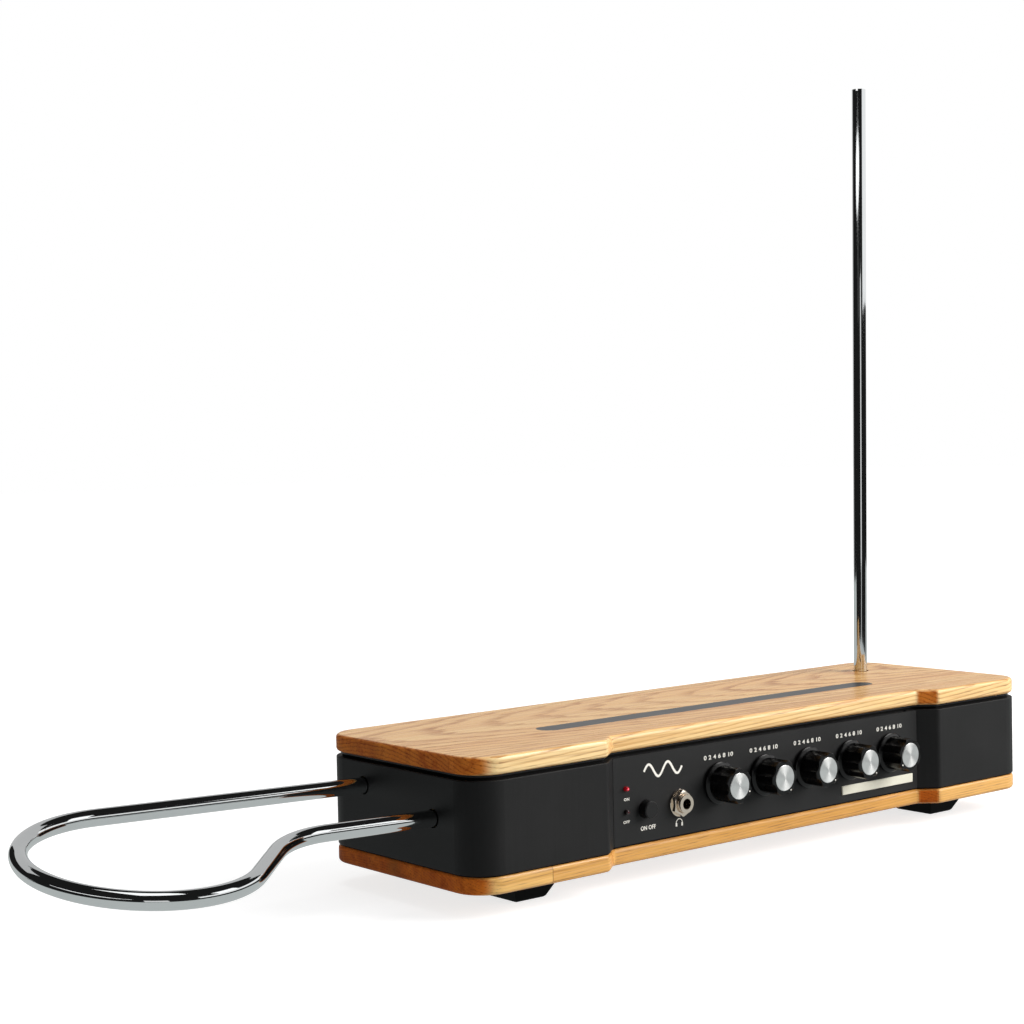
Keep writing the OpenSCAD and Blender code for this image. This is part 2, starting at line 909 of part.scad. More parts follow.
// Jack socket pieces; local Y runs into the cabinet and zero is the panel's outer face
module jack_body(plate_t) {
    difference() {
        translate([-8, plate_t, -8])
            cube([16, jack_depth, 16]);
        bar_front(2 * jack_r, plate_t + jack_depth - 3, jack_depth);
    }
    for (y = [6, 12, 18])
        translate([-8.6, plate_t + y, -1])
            cube([0.6, 1, 2]);
}
module jack_bush(plate_t) {
    difference() {
        bar_front(jack_bush_d, plate_t, jack_stand_out + plate_t);
        bar_front(2 * jack_r, plate_t + 1, jack_stand_out + plate_t + 2);
    }
}
module jack_nut() {
    difference() {
        union() {
            bar_front(16.5, 0, 1);
            hex_front(14, -1, 3);
        }
        bar_front(jack_bush_d + 2 * hair, 1, 8);
    }
}

module at_phones() {
    translate([phones_x, panel_face, phones_z])
        children();
}
module phones_jack() {
    color([0.1, 0.1, 0.1])
    at_phones()
        jack_body(panel_t);
}
module phones_jack_bush() {
    color("silver")
    at_phones()
        jack_bush(panel_t);
}
module phones_jack_nut() {
    color("silver")
    at_phones()
        jack_nut();
}

module control_board() {
    color("darkgreen")
    difference() {
        translate([-130, board_y, case_z0 + 4])
            cube([248, board_t, case_h - 8]);
        translate([phones_x - 9.5, board_y - 1, phones_z - 9])
            cube([19, board_t + 2, 18]);
    }
}

// ---------------------------------------------------------------- electronics inside

standoff_points = [for (x = [-140, 0, 140]) for (y = [main_y0 + 5, main_y1 - 5]) [x, y]];

module main_board() {
    color("darkgreen")
    difference() {
        translate([-main_w / 2, main_y0, main_z])
            cube([main_w, main_y1 - main_y0, board_t]);
        for (p = standoff_points)
            translate([p[0], p[1], main_z - 1])
                cylinder(d = 3.4, h = board_t + 2);
    }
}

module board_standoffs() {
    color("ivory")
    for (p = standoff_points)
        translate([p[0], p[1], bottom_t])
            difference() {
                cylinder(d = 7, h = main_z - bottom_t);
                translate([0, 0, -1])
                    cylinder(d = 3.4, h = main_z);
            }
}

module board_screws() {
    color("silver")
    for (p = standoff_points) {
        translate([p[0], p[1], main_top])
            cylinder(d = 6, h = 2.2);
        translate([p[0], p[1], 4])
            cylinder(d = 2.9, h = main_top - 4 + 1);
    }
}

// Chips, capacitors, tuning cans, plug housings and the regulator's heat sink
module board_parts() {
    color([0.2, 0.2, 0.22]) {
        for (i = [0 : 3])
            translate([-44 + i * 26, -16, main_top])
                cube([19, 7, 3.6]);
        for (i = [0 : 3])
            translate([-58 + i * 34, 8, main_top])
                cube([10, 10, 12]);
        for (i = [0 : 4])
            translate([-100 + i * 11, 24, main_top])
                cylinder(d = 8, h = 12);
        for (x = [-40, 60])
            translate([x, main_y0 + 2, main_top])
                cube([22, 6, 9]);
        translate([88, 16, main_top]) {
            cube([24, 3, 18]);
            for (k = [0 : 4])
                translate([k * 5.5, 3, 0])
                    cube([2, 9, 18]);
        }
    }
}

// Wound bobbins in line with each antenna: four for pitch on the right, three for volume
module antenna_coils() {
    color("chocolate") {
        for (i = [0 : 3])
            translate([84 + i * 18, -14, main_top])
                bobbin();
        for (i = [0 : 2])
            translate([-132 + i * 18, -14, main_top])
                bobbin();
    }
}
module bobbin() {
    rotate_extrude()
        polygon([[1.6, 0], [7.5, 0], [7.5, 1.2], [6, 1.2], [6, 14.8], [7.5, 14.8], [7.5, 16], [1.6, 16]]);
}

// ---------------------------------------------------------------- pitch antenna

module pitch_socket() {
    color("goldenrod")
    translate([socket_x, socket_y, 0])
    difference() {
        union() {
            translate([0, 0, socket_floor - 3])
                cylinder(d = rod_bore_d + 4, h = socket_top - socket_floor + 3);
            translate([0, 0, socket_top - 2])
                cylinder(d = 26, h = 2);
        }
        translate([0, 0, socket_floor])
            cylinder(d = rod_bore_d, h = socket_top - socket_floor + 1);
    }
}

// Local Z runs up the rod, with zero where it leaves the top plate
module in_rod_axis() {
    translate([rod_x, rod_y, top_z1])
        rotate(a = rod_lean, v = [-sin(lean_dir), cos(lean_dir), 0])
            children();
}

module pitch_antenna() {
    foot_z = socket_floor + 0.08 - top_z1;
    color("lightgray")
    in_rod_axis()
    difference() {
        translate([0, 0, foot_z])
            cylinder(d = tube_d, h = rod_reach - foot_z);
        translate([0, 0, foot_z - 1])
            cylinder(d = tube_d - 2 * tube_wall, h = rod_reach - foot_z + 2);
        rotate(rod_slot_dir)
            translate([0, -rod_slot_w / 2, rod_reach - rod_slot_l])
                cube([tube_d, rod_slot_w, rod_slot_l + 1]);
    }
}

// ---------------------------------------------------------------- volume antenna

module in_loop_plane() {
    translate([-half_w, loop_y, loop_z])
        rotate([loop_tilt, 0, 0])
            rotate([0, loop_rise, 0])
                children();
}

// Bar along a leg that reaches "depth" into the cabinet and a little out of it
module leg_stub(d, depth) {
    translate([depth, 0, 0])
        rotate([0, -90, 0])
            cylinder(d = d, h = depth + 6);
}

socket_block = 20.5;
module volume_socket(along) {
    color("goldenrod")
    difference() {
        union() {
            in_loop_plane()
                translate([leg_in + 3, along, 0])
                    rotate([0, -90, 0])
                        cylinder(d = tube_d + 5, h = leg_in + 3 - wall - 2);
            translate([-inner_x, loop_y + along * cos(loop_tilt), loop_z + along * sin(loop_tilt)])
                rotate([loop_tilt, 0, 0])
                    translate([0, -socket_block / 2, -socket_block / 2])
                        cube([3, socket_block, socket_block]);
        }
        in_loop_plane()
            translate([leg_in + 0.1, along, 0])
                rotate([0, -90, 0])
                    cylinder(d = leg_bore_d, h = leg_in + 2);
    }
}
module volume_socket_front() { volume_socket(0); }
module volume_socket_rear() { volume_socket(leg_gap); }

module tube_ring(length, grow) {
    rotate([0, 90, 0])
        difference() {
            cylinder(d = tube_d + 2 * grow, h = length);
            translate([0, 0, -1])
                cylinder(d = tube_d - 2 * tube_wall - 2 * grow, h = length + 2);
        }
}

// Straight tube along local +X, and what follows on at its end
module tube_run(length) {
    tube_ring(length, 0);
    translate([length, 0, 0])
        children();
}

// Short length of tube, a hair thicker, over the seam between a bend and the next piece
module tube_seam() {
    translate([-0.1, 0, 0])
        tube_ring(0.2, 0.03);
}

// Bend that starts along local +X and turns to the left, or to the right where "turn" is below
// zero, and what follows on at its end
module tube_turn(r, turn) {
    side = turn > 0 ? 1 : -1;
    tube_seam();
    translate([0, side * r, 0]) {
        rotate(turn > 0 ? -90 : 90 + turn)
            rotate_extrude(angle = abs(turn))
                translate([r, 0])
                    difference() {
                        circle(d = tube_d);
                        circle(d = tube_d - 2 * tube_wall);
                    }
        rotate(turn)
            translate([0, -side * r, 0]) {
                tube_seam();
                children();
            }
    }
}

module volume_antenna() {
    // Ends of the bends in the loop's plane; the slanted run is as long as the front leg's
    // line asks for
    round_turn = 180 + return_bend - wide_bend;
    wide_c = [-rear_leg, leg_gap - wide_bend_r];
    wide_dir = 90 + wide_bend;
    round_c = wide_c + (wide_bend_r - round_bend_r) * [cos(wide_dir), sin(wide_dir)];
    round_end = round_c + round_bend_r * [sin(return_bend), -cos(return_bend)];
    slant_l = tidy((-round_end[1] - return_bend_r * (1 - cos(return_bend))) / sin(return_bend));
    front_start = round_end[0] + slant_l * cos(return_bend) + return_bend_r * sin(return_bend);
    color("lightgray")
    in_loop_plane()
        translate([leg_in, leg_gap, 0])
            rotate(180)
                tube_run(rear_leg + leg_in)
                    tube_turn(wide_bend_r, wide_bend)
                        tube_turn(round_bend_r, round_turn)
                            tube_run(slant_l)
                                tube_turn(return_bend_r, -return_bend)
                                    tube_run(tidy(leg_in - front_start));
}

// ---------------------------------------------------------------- rear panel

module rear_screw_places() {
    for (x = [-97, 97])
        for (z = [rear_window_z0 + 2, rear_window_z1 - 2])
            translate([x, 0, z])
                children();
}

module rear_panel() {
    color([0.13, 0.13, 0.14])
    difference() {
        translate([-rear_w / 2, rear_back, rear_z0])
            cube([rear_w, rear_t, rear_z1 - rear_z0]);
        for (x = rear_jacks_x)
            translate([x, 0, rear_z])
                bar_front(jack_bush_d + 0.3, rear_face + 1, rear_t + 2);
        translate([inlet_x, 0, rear_z])
            bar_front(8.3, rear_face + 1, rear_t + 2);
        translate([switch_x - 9.7, rear_back - 1, rear_z - 6.6])
            cube([19.4, rear_t + 2, 13.2]);
        rear_screw_places()
            bar_front(3.1, rear_face + 1, rear_t + 2);
    }
}

module rear_panel_screws() {
    color("silver")
    rear_screw_places()
        translate([0, half_d, 0])
            rotate([90, 0, 0]) {
                cylinder(d1 = 6, d2 = 3, h = 1.5);
                cylinder(d = 3, h = wall + rear_t + 1);
            }
}

// Turns a jack's pieces to face the rear
module at_rear_jacks() {
    for (x = rear_jacks_x)
        translate([x, rear_face, rear_z])
            rotate(180)
                children();
}
module rear_jack_bodies() {
    color([0.1, 0.1, 0.1])
    at_rear_jacks()
        jack_body(rear_t);
}
module rear_jack_bushes() {
    color("silver")
    at_rear_jacks()
        jack_bush(rear_t);
}
module rear_jack_nuts() {
    color("silver")
    at_rear_jacks()
        jack_nut();
}

module dc_inlet() {
    color([0.1, 0.1, 0.1])
    translate([inlet_x, 0, rear_z])
    difference() {
        union() {
            translate([-5.5, rear_back - 13, -6])
                cube([11, 13, 12]);
            bar_front(8, rear_face, rear_t + 1);
        }
        bar_front(5.6, rear_face + 1, 11);
    }
    color("silver")
    translate([inlet_x, 0, rear_z])
        bar_front(2, rear_face - 0.5, 9.5);
}

rocker_w = 14;
rocker_h = 9.6;
pivot_y = rear_face - 3;
module power_switch() {
    color([0.08, 0.08, 0.08])
    translate([switch_x, 0, rear_z])
    difference() {
        union() {
            translate([-10.5, rear_face, -7.4])
                cube([21, 1.5, 14.8]);
            translate([-9.4, rear_back - 14, -6.3])
                cube([18.8, 14 + rear_t, 12.6]);
        }
        translate([-rocker_w / 2 - gap, pivot_y - 8, -rocker_h / 2 - gap])
            cube([rocker_w + 2 * gap, 20, rocker_h + 2 * gap]);
        rotate([0, 90, 0])
            translate([0, pivot_y, -8.6])
                cylinder(d = 2.2, h = 17.2);
    }
}

// Rocker with a shallow V face; it rests with its upper half pressed in
rocker_rest = 8;
module power_rocker() {
    color([0.1, 0.1, 0.1])
    translate([switch_x, pivot_y, rear_z])
        rotate([rocker_rest, 0, 0]) {
            translate([-rocker_w / 2, 0, 0])
                rotate([90, 0, 90])
                    linear_extrude(rocker_w)
                        polygon([[-2.6, -2.5], [-2.6, 2.5], [2.4, 4], [5.6, 4], [4.6, 0],
                                 [5.6, -4], [2.4, -4]]);
            rotate([0, 90, 0])
                translate([0, 0, -8.4])
                    cylinder(d = 2.1, h = 16.8);
        }
}

// ---------------------------------------------------------------- assembly

top_plate();
top_inlay();
lid_plate();
neck_gasket();
case_shell();
bottom_gasket();
bottom_plate();
stand_bush();
base_screws();
foot_front_left();
foot_front_right();
foot_rear_left();
foot_rear_right();
tie_screws();
top_inserts();
front_panel();
panel_nuts();
control_board();
pots();
pot_nuts();
shaft_phones_volume();
shaft_volume_range();
shaft_pitch_range();
shaft_waveform();
shaft_brightness();
knob_phones_volume();
knob_volume_range();
knob_pitch_range();
knob_waveform();
knob_brightness();
cap_phones_volume();
cap_volume_range();
cap_pitch_range();
cap_waveform();
cap_brightness();
mute_button();
mute_switch();
power_led();
mute_led();
phones_jack();
phones_jack_bush();
phones_jack_nut();
main_board();
board_standoffs();
board_screws();
board_parts();
antenna_coils();
pitch_socket();
pitch_antenna();
volume_socket_front();
volume_socket_rear();
volume_antenna();
rear_panel();
rear_panel_screws();
rear_jack_bodies();
rear_jack_bushes();
rear_jack_nuts();
dc_inlet();
power_switch();
power_rocker();
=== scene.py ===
import json
import math

import bmesh
import bpy
from mathutils import Matrix, Vector


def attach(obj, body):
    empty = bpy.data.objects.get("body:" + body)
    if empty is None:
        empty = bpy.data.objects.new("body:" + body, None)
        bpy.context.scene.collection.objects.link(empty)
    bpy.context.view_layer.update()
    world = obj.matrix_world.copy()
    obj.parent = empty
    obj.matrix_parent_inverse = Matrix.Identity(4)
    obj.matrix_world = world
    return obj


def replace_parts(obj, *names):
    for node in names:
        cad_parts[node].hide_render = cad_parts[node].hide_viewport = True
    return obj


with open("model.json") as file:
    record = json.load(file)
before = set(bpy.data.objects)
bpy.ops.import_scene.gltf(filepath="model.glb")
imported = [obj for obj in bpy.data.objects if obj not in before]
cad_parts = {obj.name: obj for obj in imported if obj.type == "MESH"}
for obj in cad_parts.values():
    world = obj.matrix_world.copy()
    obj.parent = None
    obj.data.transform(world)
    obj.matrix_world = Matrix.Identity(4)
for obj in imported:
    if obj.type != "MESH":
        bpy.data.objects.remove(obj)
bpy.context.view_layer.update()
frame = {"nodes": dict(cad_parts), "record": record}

scene = bpy.context.scene
MM = 0.001


# ---------------------------------------------------------------- node helpers

class Graph:
    """A material's nodes, built with short calls."""

    def __init__(self, name, **sockets):
        self.material = bpy.data.materials.new(name)
        self.material.use_nodes = True
        self.tree = self.material.node_tree
        self.tree.nodes.clear()
        self.shader = self.node("ShaderNodeBsdfPrincipled", **sockets)
        self.output = self.node("ShaderNodeOutputMaterial")
        self.join(self.shader.outputs[0], self.output.inputs["Surface"])

    def node(self, kind, attributes=None, **sockets):
        made = self.tree.nodes.new(kind)
        for key, value in (attributes or {}).items():
            setattr(made, key, value)
        for key, value in sockets.items():
            self.put(made.inputs[key.replace("_", " ")], value)
        return made

    def join(self, a, b):
        self.tree.links.new(a, b)

    def put(self, socket, value):
        if isinstance(value, bpy.types.NodeSocket):
            self.join(value, socket)
        else:
            socket.default_value = value

    def math(self, operation, *values):
        made = self.node("ShaderNodeMath", {"operation": operation})
        for i, value in enumerate(values):
            self.put(made.inputs[i], value)
        return made.outputs[0]

    def span(self, value, low, high, to_low=0.0, to_high=1.0):
        """Smooth step of value from low to high."""
        made = self.node("ShaderNodeMapRange", {"interpolation_type": "SMOOTHSTEP"})
        for key, v in (("Value", value), ("From Min", low), ("From Max", high),
                       ("To Min", to_low), ("To Max", to_high)):
            self.put(made.inputs[key], v)
        return made.outputs[0]

    def place(self):
        return self.node("ShaderNodeTexCoord").outputs["Object"]

    def split(self, vector):
        made = self.node("ShaderNodeSeparateXYZ", Vector=vector)
        return made.outputs[0], made.outputs[1], made.outputs[2]

    def merge(self, x, y, z):
        return self.node("ShaderNodeCombineXYZ", X=x, Y=y, Z=z).outputs[0]

    def vector_math(self, operation, a, b):
        made = self.node("ShaderNodeVectorMath", {"operation": operation})
        self.put(made.inputs[0], a)
        self.put(made.inputs[1], b)
        return made.outputs[0]

    def scaled(self, vector, sx, sy, sz):
        return self.vector_math("MULTIPLY", vector, (sx, sy, sz))

    def noise(self, vector, scale=1.0, detail=2.0, rough=0.5):
        return self.node("ShaderNodeTexNoise", Vector=vector, Scale=scale, Detail=detail,
                         Roughness=rough).outputs["Fac"]

    def mix(self, factor, a, b, kind="MIX"):
        made = self.node("ShaderNodeMix", {"data_type": "RGBA", "blend_type": kind})
        self.put(made.inputs["Factor"], factor)
        for name, value in (("A", a), ("B", b)):
            socket = [s for s in made.inputs if s.name == name and s.type == "RGBA"][0]
            self.put(socket, value if isinstance(value, bpy.types.NodeSocket) else (*value, 1.0))
        return [s for s in made.outputs if s.type == "RGBA"][0]

    def bump(self, height, strength, distance):
        return self.node("ShaderNodeBump", Height=height, Strength=strength,
                         Distance=distance).outputs[0]

    def set(self, **sockets):
        for key, value in sockets.items():
            self.put(self.shader.inputs[key.replace("_", " ")], value)
        return self.material


def linear(r, g, b):
    """Colour from screen values 0 to 255."""
    return tuple(v / 12.92 if v <= 0.04045 else ((v + 0.055) / 1.055) ** 2.4
                 for v in (r / 255, g / 255, b / 255))


# ---------------------------------------------------------------- materials

# painted shade: faces that look up or down take this darker, more orange tint than the edges
LEVEL_FACE_SHADE = (0.94, 0.785, 0.62)
LONG_BOARD_TINT = (0.91, 0.84, 0.76)
END_TINT = linear(236, 162, 84)
END_TINT_DARK = linear(202, 130, 66)
# light, middle, dark and deep tone of each wood
TOP_TONES = (linear(255, 226, 168), linear(248, 208, 144), linear(192, 130, 58), linear(136, 84, 34))
BASE_TONES = (linear(244, 196, 118), linear(234, 178, 94), linear(188, 128, 52), linear(142, 90, 34))
JOINT_X = -0.189
# how far the second board's figure is from the first one's
BOARD_SHIFT_Y = 0.31
BOARD_SHIFT_Z = 0.17
KNOT_Y = 0.004
KNOT_Z = 0.007
KNOT_CORE = 0.004
KNOT_EDGE = 0.014
KNOT_RAGGED = 0.006


def off_centre(g, point):
    """Distance from the middle of a piece's box, seen along Y."""
    x, _, z = g.split(point)
    dx = g.math("SUBTRACT", x, 0.5)
    dz = g.math("SUBTRACT", z, 0.5)
    return g.math("SQRT", g.math("ADD", g.math("MULTIPLY", dx, dx), g.math("MULTIPLY", dz, dz)))


def wood(name, heart_y, heart_z, slope, ring, tones, contrast, seed, joint=None):
    """Oiled ring-porous wood with its grain along X: rings round a tilted heart line.

    "slope" tilts the heart line, "ring" is the width of a year's growth and "seed" picks a place in
    the noise. "joint" is the place along X where two boards meet in one plate.
    """
    g = Graph(name)
    p = g.place()
    x, y, z = g.split(p)
    q = g.vector_math("ADD", p, (seed, seed * 0.37, seed * 0.71))
    if joint is not None:
        other = g.math("LESS_THAN", x, joint)
        shift_y = g.math("MULTIPLY", other, BOARD_SHIFT_Y)
        shift_z = g.math("MULTIPLY", other, BOARD_SHIFT_Z)
        q = g.vector_math("ADD", q, g.merge(0.0, shift_y, shift_z))
    nx, _, nz = g.split(g.node("ShaderNodeTexCoord").outputs["Normal"])
    flat = g.span(g.math("ABSOLUTE", nz), 0.5, 0.9)
    slow = g.noise(g.scaled(q, 1.8, 8, 8), detail=2)
    slow2 = g.noise(g.scaled(q, 6, 30, 30), detail=3)
    fine = g.noise(g.scaled(q, 12, 170, 170), detail=3, rough=0.6)
    wave = g.math("ADD", g.math("MULTIPLY", g.math("SUBTRACT", slow, 0.5), 0.05),
                  g.math("MULTIPLY", g.math("SUBTRACT", slow2, 0.5), 0.008))
    # year rings: whole number is the year, the rest is the place within it
    across = g.math("ADD", g.math("SUBTRACT", y, heart_y), wave)
    down = g.math("SUBTRACT", g.math("SUBTRACT", z, heart_z), g.math("MULTIPLY", x, slope))
    down = g.math("ADD", down, g.math("MULTIPLY", wave, 0.2))
    radius = g.math("SQRT", g.math("ADD", g.math("MULTIPLY", across, across),
                                   g.math("MULTIPLY", down, down)))
    rings = g.math("ADD", g.math("DIVIDE", radius, ring), g.math("MULTIPLY", fine, 0.9))
    year = g.math("FLOOR", rings)
    part = g.math("SUBTRACT", rings, year)
    vary = g.node("ShaderNodeTexWhiteNoise", {"noise_dimensions": "1D"}, W=year).outputs["Value"]
    # open pores: long thin streaks, densest where a ring begins
    pores = g.noise(g.scaled(q, 40, 1300, 1300), detail=1.5, rough=0.6)
    thin = g.noise(g.scaled(q, 9, 700, 700), detail=2, rough=0.65)
    early = g.span(part, 0.0, 0.42, 1.0, 0.0)
    rise = g.span(part, 0.88, 1.0, 0.0, 1.0)
    porous = g.math("MAXIMUM", early, rise)
    pore = g.math("MULTIPLY", g.span(pores, 0.5, 0.66),
                  g.math("ADD", g.math("MULTIPLY", porous, 0.8), 0.2))
    line = g.math("MULTIPLY", porous, g.math("ADD", g.math("MULTIPLY", vary, 0.75), 0.25))
    line = g.math("MULTIPLY", line, g.span(thin, 0.3, 0.62, 0.5, 1.0))
    light, middle, dark, deep = tones
    blotch = g.noise(g.scaled(q, 3, 60, 60), detail=3)
    base = g.mix(g.span(blotch, 0.3, 0.7), light, middle)
    base = g.mix(g.math("MULTIPLY", line, contrast), base, dark)
    streak = g.noise(g.scaled(q, 2.4, 130, 130), detail=4, rough=0.75)
    base = g.mix(g.math("MULTIPLY", g.span(streak, 0.48, 0.66), 0.6), base, dark)
    base = g.mix(g.math("MULTIPLY", pore, 0.65), base, deep)
    # painted shade: the top and bottom faces are multiplied by a darker tint than the edges
    base = g.mix(flat, base, g.mix(1.0, base, LEVEL_FACE_SHADE, "MULTIPLY"))
    # end grain drinks the oil; the tint is full on the faces towards -X and half as much towards +X,
    # which paints shade on the -X side
    end = g.math("MAXIMUM", g.span(g.math("MULTIPLY", nx, -1.0), 0.28, 0.66),
                 g.span(nx, 0.4, 0.9, 0.0, 0.5))
    mottle = g.noise(g.scaled(q, 30, 90, 45), detail=3, rough=0.6)
    oil = g.mix(g.span(mottle, 0.3, 0.75), END_TINT, END_TINT_DARK)
    base = g.mix(end, base, g.mix(1.0, base, oil, "MULTIPLY"))
    if joint is not None:
        base = g.mix(other, g.mix(1.0, base, LONG_BOARD_TINT, "MULTIPLY"), base)
        # a knot with a ragged edge on the end faces
        knot = g.node("ShaderNodeVectorMath", {"operation": "LENGTH"})
        off_y = g.math("SUBTRACT", y, KNOT_Y)
        off_z = g.math("SUBTRACT", z, KNOT_Z)
        g.put(knot.inputs[0], g.merge(0.0, off_y, off_z))
        away = g.math("ADD", knot.outputs["Value"], g.math("MULTIPLY", mottle, KNOT_RAGGED))
        dark_knot = g.math("MULTIPLY", g.span(away, KNOT_CORE, KNOT_EDGE, 0.5, 0.0), end)
        base = g.mix(dark_knot, base, deep)
        # the thin line where the boards meet
        gap = g.math("ABSOLUTE", g.math("SUBTRACT", x, joint))
        base = g.mix(g.span(gap, 0.0002, 0.0006, 0.55, 0.0), base, deep)
    height = g.math("ADD", g.math("MULTIPLY", pore, -1.0), g.math("MULTIPLY", thin, 0.25))
    rough = g.math("ADD", g.math("ADD", g.math("MULTIPLY", pore, 0.2), g.math("MULTIPLY", thin, 0.12)),
                   g.span(end, 0.0, 1.0, 0.2, 0.45))
    return g.set(Base_Color=base, Roughness=rough, Specular_IOR_Level=g.span(end, 0.0, 1.0, 0.5, 0.1),
                 Normal=g.bump(height, 0.2, 0.0001))


def coat(name, colour, roughness, grain, lift, level, brush=0.0):
    """Satin powder coat: fine pimples, soft patches and, with "brush", faint upright strokes."""
    g = Graph(name, Specular_IOR_Level=level)
    p = g.place()
    pimple = g.noise(p, scale=grain, detail=1.5)
    cloud = g.noise(p, scale=24, detail=3)
    stroke = g.noise(g.scaled(p, 900, 900, 25), detail=2)
    pale = tuple(min(1, c * 1.5 + 0.001) for c in colour)
    tone = g.math("ADD", g.span(cloud, 0.35, 0.75, 0.0, 0.6),
                  g.math("MULTIPLY", g.math("SUBTRACT", stroke, 0.5), brush))
    base = g.mix(g.math("MAXIMUM", tone, 0.0), colour, pale)
    rough = g.math("ADD", roughness - 0.05, g.math("MULTIPLY", cloud, 0.12))
    return g.set(Base_Color=base, Roughness=rough, Normal=g.bump(pimple, lift, 0.0002))


def metal(name, colour, roughness, streak, scale=(300, 300, 300), lift=0.0):
    """Bare or plated metal with faint wipe marks."""
    g = Graph(name, Metallic=1.0)
    p = g.place()
    marks = g.noise(g.scaled(p, *scale), detail=2)
    cloud = g.noise(p, scale=35, detail=2)
    rough = g.math("ADD", roughness, g.math("MULTIPLY", g.math("ADD", marks, cloud), streak))
    base = g.mix(g.span(cloud, 0.3, 0.8, 0.0, 0.5), colour, tuple(c * 0.93 for c in colour))
    g.set(Base_Color=base, Roughness=rough)
    if lift:
        g.set(Normal=g.bump(marks, lift, 0.0001))
    return g.material


def plastic(name, colour, roughness, grain, lift, level=0.5):
    """Moulded plastic or rubber with a fine skin."""
    g = Graph(name, Specular_IOR_Level=level)
    p = g.place()
    skin = g.noise(p, scale=grain, detail=2)
    cloud = g.noise(p, scale=60, detail=2)
    base = g.mix(g.span(cloud, 0.3, 0.8, 0.0, 0.6), colour, tuple(c * 1.35 for c in colour))
    rough = g.math("ADD", roughness, g.math("MULTIPLY", cloud, 0.08))
    return g.set(Base_Color=base, Roughness=rough, Normal=g.bump(skin, lift, 0.0001))


def lens(name, colour, core, glow):
    """Round lamp: coloured plastic with a lit core and painted shade at its rim."""
    g = Graph(name, Roughness=0.12, Coat_Weight=0.6, Coat_Roughness=0.05)
    p = g.node("ShaderNodeTexCoord").outputs["Generated"]
    away = off_centre(g, p)
    tone = g.mix(g.span(away, 0.03, 0.16), core, colour)
    # painted shade: the rim darkens to a tenth of the colour
    tone = g.mix(g.span(away, 0.12, 0.32), tone, tuple(c * 0.1 for c in colour))
    speck = g.noise(p, scale=9, detail=2)
    tone = g.mix(g.math("MULTIPLY", speck, 0.25), tone, colour)
    return g.set(Base_Color=tone, Emission_Color=tone, Emission_Strength=glow)


def spun(name, colour):
    """Turned aluminium: fine rings round the middle of the piece."""
    g = Graph(name, Metallic=1.0, Anisotropic=0.8, Anisotropic_Rotation=0.25)
    away = off_centre(g, g.node("ShaderNodeTexCoord").outputs["Generated"])
    ring = g.noise(g.merge(away, 0.0, 0.0), scale=150, detail=3, rough=0.7)
    tangent = g.node("ShaderNodeTangent", {"direction_type": "RADIAL", "axis": "Y"}).outputs[0]
    rough = g.math("ADD", 0.2, g.math("MULTIPLY", ring, 0.2))
    base = g.mix(ring, colour, tuple(c * 0.82 for c in colour))
    return g.set(Base_Color=base, Roughness=rough, Tangent=tangent,
                 Normal=g.bump(ring, 0.12, 0.00005))


def board_material(name):
    """Green circuit board with faint tracks under its lacquer."""
    g = Graph(name, Roughness=0.35, Coat_Weight=0.4, Coat_Roughness=0.15)
    p = g.place()
    weave = g.noise(g.scaled(p, 900, 900, 900), detail=1)
    tracks = g.node("ShaderNodeTexBrick", {"offset": 0.37}, Vector=g.scaled(p, 60, 60, 60),
                    Scale=4.0, Mortar_Size=0.06).outputs["Fac"]
    base = g.mix(g.math("MULTIPLY", tracks, 0.5), linear(18, 74, 44), linear(40, 112, 66))
    base = g.mix(g.math("MULTIPLY", weave, 0.2), base, linear(10, 50, 30))
    return g.set(Base_Color=base, Normal=g.bump(tracks, 0.2, 0.0001))


def cream(name):
    """Cream plate with small flecks."""
    g = Graph(name, Roughness=0.5, Specular_IOR_Level=0.3)
    p = g.place()
    fleck = g.noise(p, scale=700, detail=3)
    cloud = g.noise(p, scale=40, detail=2)
    base = g.mix(fleck, linear(238, 237, 222), linear(228, 225, 208))
    base = g.mix(g.math("MULTIPLY", cloud, 0.12), base, linear(205, 199, 176))
    return g.set(Base_Color=base, Normal=g.bump(fleck, 0.05, 0.00005))


def ink(name, colour):
    """Screen print with slight wear."""
    g = Graph(name, Roughness=0.55, Specular_IOR_Level=0.3)
    wear = g.noise(g.place(), scale=2400, detail=2)
    base = g.mix(g.math("MULTIPLY", g.span(wear, 0.55, 0.8), 0.5), colour,
                 tuple(c * 0.6 for c in colour))
    return g.set(Base_Color=base)


